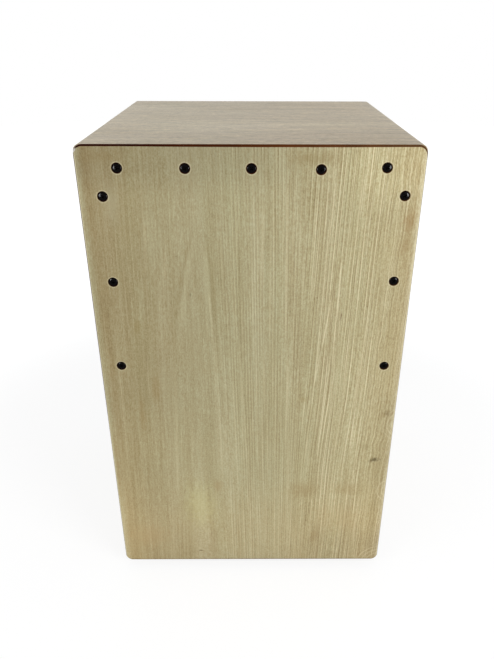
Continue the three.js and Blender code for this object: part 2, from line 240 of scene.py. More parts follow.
def treeOf(values):
    return next(value.tree for value in values if isinstance(value, Value))


def calc(operation, *values, clamp=False):
    return put(treeOf(values), "ShaderNodeMath", dict(enumerate(values)), operation=operation,
               use_clamp=clamp)[0]


def vectorMath(operation, *values, output=0):
    return put(treeOf(values), "ShaderNodeVectorMath", dict(enumerate(values)), operation=operation)[output]


def scaled(vector, factor):
    # a vector or colour times a number
    vector = vector[:3] if isinstance(vector, tuple) else vector
    return put(treeOf((vector, factor)), "ShaderNodeVectorMath", {0: vector, "Scale": factor},
               operation="SCALE")[0]


def combine(x, y, z=0.0):
    return put(treeOf((x, y)), "ShaderNodeCombineXYZ", {"X": x, "Y": y, "Z": z})[0]


def split(vector):
    return put(vector.tree, "ShaderNodeSeparateXYZ", {"Vector": vector})


def mapped(vector, scale):
    return put(vector.tree, "ShaderNodeMapping", {"Vector": vector, "Scale": scale})[0]


def noise(vector, scale, detail, rough=0.5):
    return put(vector.tree, "ShaderNodeTexNoise",
               {"Vector": vector, "Scale": scale, "Detail": detail, "Roughness": rough})[0]


def between(share, low, high):
    # low at 0, high at 1
    return calc("MULTIPLY_ADD", share, high - low, low)


def vary(value, amount, factor=1.0):
    # factor + amount * (value - 0.5)
    return calc("MULTIPLY_ADD", value - 0.5, amount, factor)


def mask(value, low, high):
    # smooth step from 0 at low to 1 at high
    return put(value.tree, "ShaderNodeMapRange", {"Value": value, "From Min": low, "From Max": high},
               interpolation_type="SMOOTHSTEP")["Result"]


def ramp(value, stops):
    # a colour read off (place, colour) stops
    made = put(value.tree, "ShaderNodeValToRGB", {"Fac": value})
    elements = made.node.color_ramp.elements
    while len(elements) < len(stops):
        elements.new(0.5)
    for element, (place, color) in zip(elements, stops):
        element.position = place
        element.color = (*color[:3], 1.0)
    return made["Color"]


def toneRamp(value, stops):
    # a colour read off (place, sRGB colour) stops
    return ramp(value, [(place, tone(*color)) for place, color in stops])


def follow(value, stops, scale=1.0, offset=0.0):
    # a number read off (place, number) stops; scale and offset bring the numbers into a ramp's 0 to 1
    found = ramp(value, [(place, (number * scale + offset,) * 3) for place, number in stops])
    if (scale, offset) == (1.0, 0.0):
        return found
    return calc("MULTIPLY_ADD", found, 1 / scale, -offset / scale)


def blendColor(share, first, second):
    return put(treeOf((share, first, second)), "ShaderNodeMix", {0: share, 6: first, 7: second},
               data_type="RGBA")[2]


def paint(color, share, tint):
    # lays a tint, in sRGB, over a share of a colour
    return blendColor(share, color, tone(*tint))


def tintBy(color, share, first, second):
    # leans a colour between two faint tints
    return vectorMath("MULTIPLY", color, blendColor(share, (*first, 1), (*second, 1)))


def newMaterial(name):
    material = bpy.data.materials.new(name)
    material.use_nodes = True
    material.node_tree.nodes.clear()
    return material, material.node_tree


def objectMm(tree):
    # object coordinates in millimetres
    return mapped(put(tree, "ShaderNodeTexCoord")["Object"], (1000, 1000, 1000))


def coat(color, rough, height, bump, more):
    # gives a material its surface; bump is the strength and the distance of the height
    strength, distance = bump
    normal = put(color.tree, "ShaderNodeBump",
                 {"Height": height, "Strength": strength, "Distance": distance})[0]
    surface = put(color.tree, "ShaderNodeBsdfPrincipled",
                  {"Base Color": color, "Roughness": rough, "Normal": normal, **more})[0]
    put(color.tree, "ShaderNodeOutputMaterial", {"Surface": surface})


# Shared node groups

def newGroup(name, outputs, **numbers):
    # a node group that takes a vector and named numbers, and gives named numbers
    group = bpy.data.node_groups.new(name, "ShaderNodeTree")
    group.interface.new_socket("Vector", in_out="INPUT", socket_type="NodeSocketVector")
    for label, value in numbers.items():
        socket = group.interface.new_socket(label, in_out="INPUT", socket_type="NodeSocketFloat")
        socket.default_value = value
    for label in outputs:
        group.interface.new_socket(label, in_out="OUTPUT", socket_type="NodeSocketFloat")
    return group, put(group, "NodeGroupInput")


def useGroup(group, **inputs):
    return put(inputs["Vector"].tree, "ShaderNodeGroup", inputs, node_tree=group)


def woodGrainGroup():
    # noise drawn out along Z at several widths, on a coordinate that wanders sideways as grain does
    group, source = newGroup("woodGrain", ("Bands", "Streaks", "Fibres", "Short", "Mottle", "Pores"),
                             Wander=3.0, Band=26.0, Streak=6.0, Fibre=1.6, Run=30.0)
    vector, run, fibre = source["Vector"], source["Run"], source["Fibre"]
    drift = noise(mapped(vector, (0.02, 0.02, 0.0045)), 1.0, 2.0)
    offset = (drift - 0.5) * source["Wander"]
    moved = vectorMath("ADD", vector, combine(offset, offset))

    def drawnOut(width, run, detail, rough, seed):
        across = 1.0 / width
        place = vectorMath("MULTIPLY", moved, combine(across, across, across / run))
        return noise(vectorMath("ADD", place, (seed, seed, seed)), 1.0, detail, rough)

    put(group, "NodeGroupOutput", {
        "Bands": drawnOut(source["Band"], run * 0.3, 2.0, 0.5, 3.1),
        "Streaks": drawnOut(source["Streak"], run * 0.7, 2.0, 0.55, 11.7),
        "Fibres": drawnOut(fibre, run, 2.0, 0.6, 27.3),
        "Short": drawnOut(fibre * 0.75, 6.0, 1.5, 0.6, 57.5),
        "Mottle": drawnOut(fibre * 0.9, 1.8, 2.0, 0.8, 71.3),
        "Pores": mask(drawnOut(fibre * 0.6, 11.0, 1.0, 0.5, 41.9), 0.64, 0.73),
    })
    return group


def growthLinesGroup():
    # fine growth lines: a saw-toothed count of rings across the grain, each line of its own strength
    group, source = newGroup("growthLines", ("Pale", "Dark"), Pitch=3.4, Wander=16.0, Change=0.02)
    x, _, z = split(source["Vector"])
    drift = noise(mapped(source["Vector"], (0.05, 0.05, 0.0028)), 1.0, 2.5)
    count = (x + (drift - 0.5) * source["Wander"]) / source["Pitch"]
    share = calc("FRACT", count)
    own = noise(combine(calc("FLOOR", count) * 7.3, z * source["Change"]), 1.0, 2.0)
    strength = mask(own, 0.34, 0.64)
    pale = mask(share, 0.0, 0.12) * mask(share, 0.42, 0.16) * strength
    put(group, "NodeGroupOutput", {"Pale": pale, "Dark": mask(share, 0.74, 0.92) * strength})
    return group


def handlingGroup():
    # faint cloudy marks and fine specks that change colour and sheen a little
    group, source = newGroup("handling", ("Clouds", "Specks"), Size=30.0)
    place = scaled(source["Vector"], 1.0 / source["Size"])
    put(group, "NodeGroupOutput", {"Clouds": noise(place, 1.0, 4.0, 0.6),
                                   "Specks": mask(noise(place, 28.0, 1.0), 0.66, 0.74)})
    return group


def spotGroup():
    # a soft oval mark with a ragged rim, at a place on a face whose coordinates are across and along
    group, source = newGroup("spot", ("Mark",), Across=0.0, Along=0.0, Width=5.0, Length=10.0, Tilt=0.0)
    x, _, z = split(source["Vector"])
    z = z - source["Along"]
    x = (x - source["Across"] - z * source["Tilt"]) / source["Width"]
    z = z / source["Length"]
    reach = vary(noise(source["Vector"], 0.35, 3.0), 1.1, calc("SQRT", x * x + z * z))
    put(group, "NodeGroupOutput", {"Mark": mask(reach, 1.0, 0.1)})
    return group


woodGrain = woodGrainGroup()
growthLines = growthLinesGroup()
handling = handlingGroup()
spot = spotGroup()


def paintSpot(color, vector, shape, tint, strength):
    # a soft mark on a colour; shape is its place across and along, half width, half length and tilt
    labels = ("Across", "Along", "Width", "Length", "Tilt")
    near = useGroup(spot, Vector=vector, **{label: float(size) for label, size in zip(labels, shape)})[0]
    return paint(color, near * strength, tint)


def nodeMiddle(name):
    # middle of a CAD node's box, in mm
    low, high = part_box(name)
    return (np.array(low) + np.array(high)) * 500


def tapaScrewPlaces():
    found = [nodeMiddle(f"tapa_screw_{number:02d}") for number in range(1, box["screws"] + 1)]
    return [(float(middle[0]), float(middle[2])) for middle in found]


faceLook = {
    "across": [(0.01, (160, 152, 120)), (0.03, (149, 136, 102)), (0.07, (154, 143, 110)),
               (0.2, (155, 146, 114)), (0.35, (161, 154, 123)), (0.55, (166, 160, 128)),
               (0.73, (169, 160, 126)), (0.82, (176, 168, 133)), (0.94, (174, 163, 127)),
               (0.98, (173, 160, 123)), (0.993, (188, 178, 146))],
    "cream": (228, 219, 184), "brown": (112, 90, 54), "backVeneer": (204, 190, 156),
    "footShade": (0.8, 0.78, 0.68),
    # the dark core by share across: its own dark brown, painted darker at the left as shade and lighter at
    # the right as light
    "core": [(0.0, (38, 4, 0)), (0.2, (46, 8, 0)), (0.5, (70, 30, 5)), (0.75, (88, 50, 24)),
             (1.0, (92, 62, 36))],
    "darker": (1.05, 0.975, 0.88), "lighter": (0.985, 1.01, 1.04), "green": (0.98, 1.01, 0.975),
    "pink": (1.02, 0.99, 0.99),
    # mm of veneer that the sanding left: along the top by share across, and at the sides thin and full
    "veneerTop": [(0.0, 0.2), (0.15, 0.2), (0.3, 0.1), (0.5, 0.05), (0.8, 0.06), (1.0, 0.16)],
    "veneerSide": (0.45, 0.78), "sideCore": (112, 96, 92),
    # zones in mm, as the two ends of a smooth step; the ring is its two radii and its strength
    "edgeZone": (112, 130), "footZone": (14.5, 11.5), "sideZone": (144.0, 146.0), "sideTop": (490, 482),
    "gleamZone": (147.8, 148.8), "cornerZone": ((-145.5, -147.0), (492.5, 490.0)),
    "thickAcross": (-10, 10), "thickLow": (240, 200), "lowZone": (150, 40), "screwRing": (4.9, 5.7, 0.24),
    "rightZone": (0, 80), "browning": (0.82, 1.2),
    # a small glint at the top left corner, shaped like the marks below
    "glint": (-148.6, 489, 1.5, 2.6, 0.5), "glintColor": (236, 234, 230), "glintShare": 0.7,
    "coreEnd": 2.6, "gloss": 0.40, "edgeGleam": (216, 207, 170),
    "wide": {"Wander": 5.0, "Band": 24.0, "Streak": 8.0, "Fibre": 2.6, "Run": 40.0},
    "fine": {"Wander": 4.0, "Band": 12.0, "Streak": 4.0, "Fibre": 1.15, "Run": 36.0},
    # how much each width of grain changes the brightness, at the left and at the right
    "wideGrain": {"Bands": (0.2, 0.22), "Streaks": (0.2, 0.22), "Fibres": (0.22, 0.3),
                  "Mottle": (0.16, 0.22)},
    "fineGrain": {"Bands": (0.22, 0.2), "Streaks": (0.2, 0.24), "Fibres": (0.36, 0.46),
                  "Short": (0.42, 0.66), "Mottle": (0.8, 1.0)},
    "pores": 0.12, "clouds": 0.12, "streakShare": 0.6,
    # painted light and shade by height, brighter low down and darker near the top, and more or less of it in
    # a few wide patches: amount, range across, range up
    "heights": [(0.0, 1.01), (0.07, 1.05), (0.145, 1.075), (0.23, 1.055), (0.31, 1.02), (0.4, 1.015),
                (0.48, 1.0), (0.72, 0.985), (0.88, 0.995), (0.94, 0.98), (0.99, 0.955)],
    "patches": [(0.09, (30, -50), (245, 165)), (0.18, (-108, -145), (200, 60)),
                (-0.11, (60, -10), (444, 478)), (0.16, (50, 115), (425, 478)),
                (-0.12, (50, 85), (75, 35)), (-0.08, (130, 142), (265, 215)),
                (0.04, (108, 130), (145, 110)), (-0.03, (-105, -130), (270, 320))],
    "lowTint": (1.03, 0.985, 0.955),
    # how far the grain leans from upright: share across and slope, and a bend low at the right
    "leanAbout": 250,
    "slopes": [(0.05, 0.02), (0.17, 0.03), (0.29, 0.028), (0.34, -0.015), (0.41, -0.022), (0.5, -0.018),
               (0.59, -0.015), (0.65, 0.006), (0.7, 0.028), (0.95, 0.022)],
    "bend": {"from": 40, "to": 62, "low": 140, "high": 260, "reach": 3.2},
    "bold": {"lines": {"Pitch": 3.9, "Wander": 9.0, "Change": 0.012}, "span": (30, 82),
             "Pale": (0.08, 0.62), "Dark": (0.06, 0.42)},
    "comb": {"lines": {"Pitch": 2.7, "Wander": 5.0, "Change": 0.007}, "span": (-60, -5, 160, 190),
             "Pale": 0.3, "Dark": 0.5},
    # nested arches: tip height and place across, lean, half width squared over depth, colours and strength
    "arch": {"tip": 424.0, "across": -46.0, "lean": 0.09, "spread": 4.0, "share": 0.27,
             "pale": (188, 183, 150), "dark": (136, 120, 82)},
    # single pale streaks: across and height at the top, across and height at the foot, width, strength
    "streaks": [
        (11, 443, 10, 355, 3.0, 0.26), (6, 441, 6, 355, 1.3, 0.28), (31, 471, 35, 300, 3.0, 0.36),
        (35, 320, 41, 89, 3.0, 0.24), (59, 466, 56, 346, 1.1, 0.6), (67, 316, 58, 161, 1.2, 0.6),
        (75, 490, 70, 404, 1.3, 0.5), (99, 469, 96, 431, 2.4, 0.5), (107, 459, 104, 395, 1.6, 0.5),
        (118, 465, 116, 437, 1.5, 0.45), (83, 392, 82, 331, 1.5, 0.7), (77, 362, 57, 206, 1.3, 0.6),
        (94, 362, 93, 318, 1.6, 0.45), (79, 298, 70, 147, 1.2, 0.6), (83, 298, 81, 193, 1.1, 0.55),
        (108, 286, 106, 164, 2.2, 0.6), (-36, 320, -32, 133, 3.0, 0.18), (-13, 320, -4, 147, 2.4, 0.22),
        (-76, 286, -82, 119, 2.4, 0.14), (-103, 291, -104, 244, 1.4, 0.2),
        (-131, 330, -136, 59, 1.2, 0.2), (-94, 429, -98, 370, 2.4, 0.14), (-78, 401, -80, 372, 1.8, 0.2),
        (-12, 471, -13, 395, 3.4, 0.2), (-40, 360, -37, 310, 2.0, 0.2),
    ],
    # soft marks: across, height, half width, half length, tilt, colour, strength
    "marks": [
        (141, 428, 9, 15, 0.15, (150, 118, 76), 0.45), (139, 405, 8, 13, 0.2, (150, 124, 84), 0.35),
        (133, 161, 7.5, 4.2, 0.5, (92, 80, 54), 0.85), (122, 180, 7, 7, 0.0, (140, 122, 84), 0.35),
        (141, 222, 4.5, 5, 0.0, (122, 102, 66), 0.5), (-60, 26, 4, 1.6, -0.6, (104, 88, 56), 0.6),
        (86, 334, 1.0, 5, 0.05, (96, 66, 40), 0.85), (110, 345, 1.6, 1.6, 0.0, (120, 96, 60), 0.5),
        (62, 354, 1.6, 1.6, 0.0, (120, 96, 60), 0.5), (-57, 357, 1.2, 2.4, 0.0, (112, 104, 78), 0.5),
        (-68, 395, 1.6, 1.8, 0.0, (118, 104, 74), 0.4), (-97, 251, 7, 26, 0.0, (142, 120, 80), 0.45),
        (-113, 221, 5, 34, 0.0, (146, 124, 84), 0.4), (-110, 323, 5, 12, 0.0, (138, 120, 78), 0.45),
        (-146, 148, 3.0, 70, 0.02, (146, 118, 76), 0.3), (-37, 125, 8, 14, 0.0, (150, 128, 90), 0.4),
        (58, 118, 22, 18, 0.1, (148, 126, 86), 0.4), (53, 240, 5, 5, 0.0, (150, 132, 90), 0.4),
        (73, 49, 7, 14, 0.0, (150, 128, 88), 0.4), (-119, 51, 34, 26, 0.0, (162, 142, 104), 0.4),
        (54, 483, 34, 9, 0.0, (146, 128, 88), 0.45), (-127, 484, 24, 9, 0.0, (146, 126, 84), 0.35),
        (-58, 96, 26, 48, 0.0, (184, 180, 130), 0.34), (103, 120, 26, 12, 0.0, (152, 130, 88), 0.35),
        (-121, 443, 9, 30, 0.0, (172, 164, 134), 0.45), (98, 80, 36, 34, 0.0, (166, 146, 106), 0.25),
    ],
    # curls in the grain near the right edge: across, height, inner and outer reach, strength
    "curls": [(152, 6, 14, 30, 0.4), (158, 208, 10, 21, 0.4), (156, 118, 8, 18, 0.35)],
}


def varyAcross(factor, grain, amounts, right=None):
    # each width of grain varies the factor by its amount, or by a pair of them, at the left and at the right
    for label, amount in amounts.items():
        if isinstance(amount, tuple):
            amount = between(right, *amount)
        factor = vary(grain[label], amount, factor)
    return factor


def archedFigure(x, z, wobble, arch):
    # nested arches: half width over the square root of the depth below the tip is 1 on the main one
    drop = calc("MAXIMUM", arch["tip"] - z, 1.0)
    away = calc("MULTIPLY_ADD", drop, arch["lean"], x - arch["across"])
    reach = calc("SQRT", drop * arch["spread"])
    share = abs(away) / reach + wobble
    fade = mask(drop, 135, 60) * mask(drop, 0, 10)
    dark = mask(abs(share - 1.0), 0.24, 0.04) * fade
    pale = mask(abs(share - 0.66), 0.26, 0.06) * fade * mask(drop, 14, 40)
    return dark, pale


def paleStreaks(x, z, streaks):
    # the strongest of all the streaks at a point: a soft line between two points, fading at both ends
    found = 0.0
    for topX, topZ, footX, footZ, width, strength in streaks:
        share = calc("MULTIPLY_ADD", z, 1 / (topZ - footZ), -footZ / (topZ - footZ))
        middle = between(share, footX, topX)
        near = mask(abs(x - middle), width * 0.75, width * 0.25)
        ends = mask(abs(share - 0.5), 0.58, 0.3)
        found = calc("MAXIMUM", found, near * ends * strength)
    return found


def reachFrom(x, z, across, height):
    # how far a point of the front plate is from a place on it
    return vectorMath("LENGTH", combine(x - across, z - height), output="Value")


def grainCurls(x, z, curls):
    # rings 5 mm apart round a few middles
    found = 0.0
    for across, height, inner, outer, strength in curls:
        reach = reachFrom(x, z, across, height)
        wave = mask(calc("FRACT", reach / 5.0), 0.45, 0.1)
        window = mask(reach, inner - 2, inner + 2) * mask(reach, outer + 2, outer - 2)
        found = calc("MAXIMUM", found, wave * window * strength)
    return found


def screwRings(x, z, inner, outer):
    # 1 in a ring round each screw of the front plate
    nearest = 1000.0
    for across, height in tapaScrewPlaces():
        nearest = calc("MINIMUM", nearest, reachFrom(x, z, across, height))
    return mask(abs(nearest - (inner + outer) / 2), outer - inner, 0.0)


def makeFaceVeneer():
    look = faceLook
    material, tree = newMaterial("faceVeneer")
    place = objectMm(tree)
    x, y, z = split(place)
    right = mask(x, *look["rightZone"])
    edgeZone = mask(x, *look["edgeZone"])
    share = (x + half) / box["width"]
    # the grain leans a little, its upper end to the right at the right, and near the edge it turns wavy
    slope = follow(share, look["slopes"], 5.0, 0.5)
    straight = x - slope * (z - look["leanAbout"])
    bend = look["bend"]
    turn = mask(x, bend["from"], bend["to"]) * mask(z, bend["high"], bend["low"])
    straight = calc("MULTIPLY_ADD", turn, bend["reach"], straight)
    curly = noise(place, 0.045, 2.0)
    straight = straight + edgeZone * vary(curly, 5.0, 0.0)
    vector = combine(straight, y * 0.35, z)
    wide = useGroup(woodGrain, Vector=vector, **look["wide"])
    fine = useGroup(woodGrain, Vector=vector, **look["fine"])
    bold, comb = look["bold"], look["comb"]
    boldLines = useGroup(growthLines, Vector=vector, **bold["lines"])
    combLines = useGroup(growthLines, Vector=vector, **comb["lines"])
    color = toneRamp(share, look["across"])
    factor = varyAcross(1.0, wide, look["wideGrain"], right)
    factor = varyAcross(factor, fine, look["fineGrain"], right)
    color = scaled(color, factor)
    # darker grain is browner, lighter grain is paler
    color = tintBy(color, mask(factor, *look["browning"]), look["darker"], look["lighter"])
    wobble = vary(wide["Streaks"], 0.5, 0.0)
    arch = look["arch"]
    archDark, archPale = archedFigure(x, z, wobble, arch)
    color = paint(color, archPale * arch["share"], arch["pale"])
    color = paint(color, archDark * arch["share"], arch["dark"])
    # growth lines: crisp and pale right of the middle, finer and closer in the middle
    strength = mask(x, *bold["span"]) * calc("MULTIPLY_ADD", edgeZone, -0.5, 1.0)
    pale, dark = (boldLines[label] * between(strength, *bold[label]) for label in ("Pale", "Dark"))
    start, full, fall, end = comb["span"]
    middle = mask(x, start, full) * mask(x, end, fall)
    pale = calc("MAXIMUM", pale, combLines["Pale"] * middle * comb["Pale"])
    dark = calc("MAXIMUM", dark, combLines["Dark"] * middle * comb["Dark"])
    wavy = x + vary(curly, 1.6, 0.0)
    streaks = paleStreaks(wavy, z, look["streaks"])
    pale = calc("MAXIMUM", pale, streaks * vary(fine["Streaks"], 2.0, look["streakShare"]))
    pale = calc("MAXIMUM", pale, grainCurls(wavy, z, look["curls"]))
    color = paint(color, pale, look["cream"])
    color = paint(color, dark, look["brown"])
    color = paint(color, fine["Pores"] * look["pores"], look["brown"])
    for *shape, tint, strength in look["marks"]:
        color = paintSpot(color, place, shape, tint, strength)
    marks = useGroup(handling, Vector=place, Size=60.0)
    # painted light and shade on the front plate: brighter low down, darker near the top, lighter or darker in
    # a few wide patches
    height = (z - box["lift"]) / box["height"]
    lit = follow(height, look["heights"], 1.0, -0.5)
    for amount, (fromX, toX), (fromZ, toZ) in look["patches"]:
        near = mask(x, fromX, toX) * mask(z, fromZ, toZ)
        lit = calc("MULTIPLY_ADD", near, amount, lit)
    color = scaled(color, vary(marks["Clouds"], look["clouds"], lit))
    color = tintBy(color, wide["Bands"], look["green"], look["pink"])
    color = tintBy(color, mask(z, *look["lowZone"]), (1, 1, 1), look["lowTint"])
    inner, outer, strength = look["screwRing"]
    rings = screwRings(x, z, inner, outer) * strength
    color = paint(color, rings, look["cream"])
    low = vectorMath("MULTIPLY", color, look["footShade"])
    color = blendColor(mask(z, *look["footZone"]), color, low)
    # the rounded edge and the screw holes cut through the veneer into the dark core
    fromSide = abs(x)
    cornerAcross, cornerUp = look["cornerZone"]
    leftCorner = mask(x, *cornerAcross) * mask(z, *cornerUp)
    side = mask(fromSide, *look["sideZone"]) * mask(z, *look["sideTop"])
    side = calc("MAXIMUM", side, leftCorner)
    sanded = follow(share, look["veneerTop"])
    thick = calc("MAXIMUM", mask(x, *look["thickAcross"]), mask(z, *look["thickLow"]))
    thin, full = look["veneerSide"]
    thick = between(thick, thin, full)
    veneer = put(tree, "ShaderNodeMix", {"Factor": side, "A": sanded, "B": thick})[0]
    depth = y - box["front"] - veneer
    gleam = side * mask(fromSide, *look["gleamZone"]) * vary(wide["Bands"], 1.6, 0.6)
    color = paint(color, gleam, look["edgeGleam"])
    inCore = mask(depth, -0.03, 0.03)
    inBack = mask(y - box["front"], look["coreEnd"] - 0.05, look["coreEnd"] + 0.05)
    # the core's own dark brown, with painted shade at the left and painted light at the right
    core = toneRamp(share, look["core"])
    core = scaled(core, vary(wide["Bands"], 1.2))
    core = paint(core, side, look["sideCore"])
    color = blendColor(inCore, color, core)
    color = blendColor(inBack, color, scaled(tone(*look["backVeneer"]), factor))
    color = paintSpot(color, place, look["glint"], look["glintColor"], look["glintShare"])
    height = vary(fine["Fibres"], 0.7, 0.0)
    height = vary(fine["Short"], 0.5, height)
    height = height + pale * 0.15
    height = height - fine["Pores"] * 0.5
    rough = vary(fine["Fibres"], 0.25, look["gloss"])
    rough = calc("MULTIPLY_ADD", inCore, 0.4, rough, clamp=True)
    coat(color, rough, height, (0.3, 0.0003),
         {"Specular IOR Level": 0.12, "Specular Tint": (1.0, 0.8, 0.6, 1)})
    return material


bodyLook = {
    "pale": (188, 176, 148), "mid": (176, 162, 135), "deep": (160, 145, 115), "fleck": (112, 96, 74),
    "ringPale": (214, 206, 184),
    "wide": {"Wander": 6.0, "Band": 34.0, "Streak": 9.0, "Fibre": 4.5, "Run": 26.0},
    "fine": {"Wander": 4.0, "Band": 14.0, "Streak": 3.4, "Fibre": 1.3, "Run": 40.0},
    "wideGrain": {"Streaks": 0.15, "Fibres": 0.5, "Short": 0.6, "Mottle": 0.5},
    "fineGrain": {"Streaks": 0.35, "Fibres": 0.55, "Short": 1.0, "Mottle": 1.0},
    "sideWide": {"Streaks": 0.3, "Fibres": 0.5, "Short": 0.3, "Mottle": 0.25},
    "sideFine": {"Streaks": 0.4, "Fibres": 0.6, "Short": 0.5, "Mottle": 0.35},
    "frontShade": (0.81, 0.775, 0.74),
    "wear": [(0.0, 0.1), (0.15, 0.4), (0.3, 0.55), (0.5, 0.65), (0.75, 0.92), (1.0, 1.0)],
    # tints across the seat; the first stop is a painted reflection, lighter and bluer at the far left
    "seatAcross": [(0.03, (1.10, 1.105, 1.13)), (0.09, (1.04, 1.04, 1.04)), (0.2, (1.006, 1.013, 1.0)),
                   (0.43, (1.0, 0.993, 0.978)), (0.57, (0.987, 0.967, 0.949)), (0.7, (1.0, 0.974, 0.942)),
                   (0.82, (0.985, 0.95, 0.91)), (0.92, (0.963, 0.929, 0.885)), (0.97, (1.0, 0.974, 0.957))],
    "raw": (208, 190, 154), "rawDark": (186, 164, 124), "gloss": 0.42,
    "green": (0.99, 1.008, 0.975), "pink": (1.01, 0.988, 0.992),
    "plyPale": (200, 180, 142), "plyDark": (146, 112, 74), "ply": 1.25,
}


def grainOrder(along, x, y, z):
    # the coordinates with the axis of the grain last
    return {"X": (y, z, x), "Y": (x, z, y), "Z": (x, y, z)}[along]


def makeBodyVeneer(name, along, flecks=(), plies=False):
    # finished veneer outside, bare wood inside the box; along is the axis of the grain
    look = bodyLook
    material, tree = newMaterial(name)
    place = objectMm(tree)
    x, y, z = split(place)
    vector = combine(*grainOrder(along, x, y, z))
    wide = useGroup(woodGrain, Vector=vector, **look["wide"])
    fine = useGroup(woodGrain, Vector=vector, **look["fine"])
    rings = useGroup(growthLines, Vector=vector, Pitch=4.6, Wander=26.0)
    share = vary(wide["Bands"], 1.4, 0.5)
    share = vary(wide["Streaks"], 0.8, share)
    color = toneRamp(share, [(0.0, look["deep"]), (0.45, look["mid"]), (1.0, look["pale"])])
    seat = along == "X"
    factor = varyAcross(1.0, wide, look["wideGrain" if seat else "sideWide"])
    factor = varyAcross(factor, fine, look["fineGrain" if seat else "sideFine"])
    color = scaled(color, factor)
    if seat:
        # the seat is darker and browner towards its front edge, more so at the right, and greener at the
        # left; at the far left a painted reflection makes it lighter and bluer
        across = (x + half) / box["width"]
        wear = follow(across, look["wear"])
        darkened = vectorMath("MULTIPLY", color, look["frontShade"])
        color = blendColor(mask(y, -72, -128) * wear, color, darkened)
        # a ramp holds no more than 1, so the tints go in divided and come out multiplied
        most = 1.2
        tint = ramp(across, [(place, tuple(v / most for v in color)) for place, color in look["seatAcross"]])
        color = vectorMath("MULTIPLY", color, scaled(tint, most))
    color = paint(color, rings["Dark"] * 0.1, look["fleck"])
    color = paint(color, rings["Pale"] * 0.12, look["ringPale"])
    color = paint(color, fine["Pores"] * 0.35, look["fleck"])
    for shape in flecks:
        color = paintSpot(color, vector, (*shape, 0), look["fleck"], 0.6)
    marks = useGroup(handling, Vector=place, Size=70.0)
    color = scaled(color, vary(marks["Clouds"], 0.1))
    color = tintBy(color, marks["Clouds"], look["green"], look["pink"])
    # inside faces: bare, yellower and rougher
    inner = half - box["panel"]
    innerZ = box["height"] / 2 - box["panel"]
    insideX = mask(abs(x), inner + 0.6, inner + 0.2)
    insideZ = mask(abs(z - boxMiddle), innerZ + 0.6, innerZ + 0.2)
    insideY = mask(y, box["shellBack"] + 0.3, box["shellBack"] + 0.05)
    inside = insideX * insideZ * insideY
    bare = toneRamp(share, [(0.1, look["rawDark"]), (0.9, look["raw"])])
    color = blendColor(inside, color, scaled(bare, factor))
    if plies:
        # the wall of the sound hole shows the plies between the two outer veneers
        depth = (box["back"] - y) / look["ply"]
        layer = calc("PINGPONG", depth, 1.0)
        inPlies = mask(depth, 0.42, 0.52) * mask(depth, 3.6, 3.5)
        plyColor = blendColor(mask(layer, 0.4, 0.6), tone(*look["plyPale"]), tone(*look["plyDark"]))
        color = blendColor(inPlies, color, scaled(plyColor, factor))
    height = vary(fine["Fibres"], 0.8, 0.0)
    height = vary(fine["Short"], 0.5, height)
    height = height - fine["Pores"] * 0.5
    rough = vary(fine["Streaks"], 0.25, look["gloss"])
    rough = calc("MULTIPLY_ADD", inside, 0.35, rough, clamp=True)
    coat(color, rough, height, (0.3, 0.0003), {"Specular IOR Level": 0.4})
    return material


timberLook = {
    "softwood": {"pale": (216, 192, 146), "deep": (184, 148, 98), "gloss": 0.68, "streak": 5.0},
    "hardwood": {"pale": (196, 160, 112), "deep": (150, 112, 72), "gloss": 0.6, "streak": 3.5},
}


def makeTimber(name, along, look):
    # planed solid wood: pale early wood, darker late wood, grain along the piece
    material, tree = newMaterial(name)
    place = objectMm(tree)
    x, y, z = split(place)
    vector = combine(*grainOrder(along, x, y, z))
    grain = useGroup(woodGrain, Vector=vector, Wander=6.0, Band=14.0, Streak=look["streak"],
                     Fibre=1.2, Run=24.0)
    rings = useGroup(growthLines, Vector=vector, Pitch=2.8, Wander=9.0)
    share = vary(grain["Streaks"], 1.6, 0.6)
    share = vary(grain["Bands"], 1.2, share)
    color = toneRamp(share, [(0.0, look["deep"]), (1.0, look["pale"])])
    color = paint(color, rings["Dark"] * 0.3, look["deep"])
    factor = vary(grain["Fibres"], 0.25)
    factor = vary(grain["Short"], 0.2, factor)
    color = scaled(color, factor)
    color = paint(color, grain["Pores"] * 0.3, look["deep"])
    height = grain["Fibres"] + grain["Short"]
    rough = vary(grain["Streaks"], 0.3, look["gloss"])
    coat(color, rough, height, (0.35, 0.0004), {"Specular IOR Level": 0.35})
    return material


faceVeneer = makeFaceVeneer()
seatFlecks = [(-80, 37, 3.2, 5), (-96, 72, 1.6, 6), (-114, -65, 4.0, 2.5), (-8, 42, 1.6, 6),
              (-95, 118, 1.4, 6), (20, 110, 1.2, 6)]
seatVeneer = makeBodyVeneer("seatVeneer", "X", seatFlecks)
sideVeneer = makeBodyVeneer("sideVeneer", "Z")
rearVeneer = makeBodyVeneer("rearVeneer", "Z", (), True)
stripAcross = makeTimber("stripAcross", "X", timberLook["softwood"])
stripUpright = makeTimber("stripUpright", "Z", timberLook["softwood"])
blockWood = makeTimber("blockWood", "Y", timberLook["softwood"])
barWood = makeTimber("barWood", "X", timberLook["hardwood"])
print("wood ready")

# Metal, rubber and glue

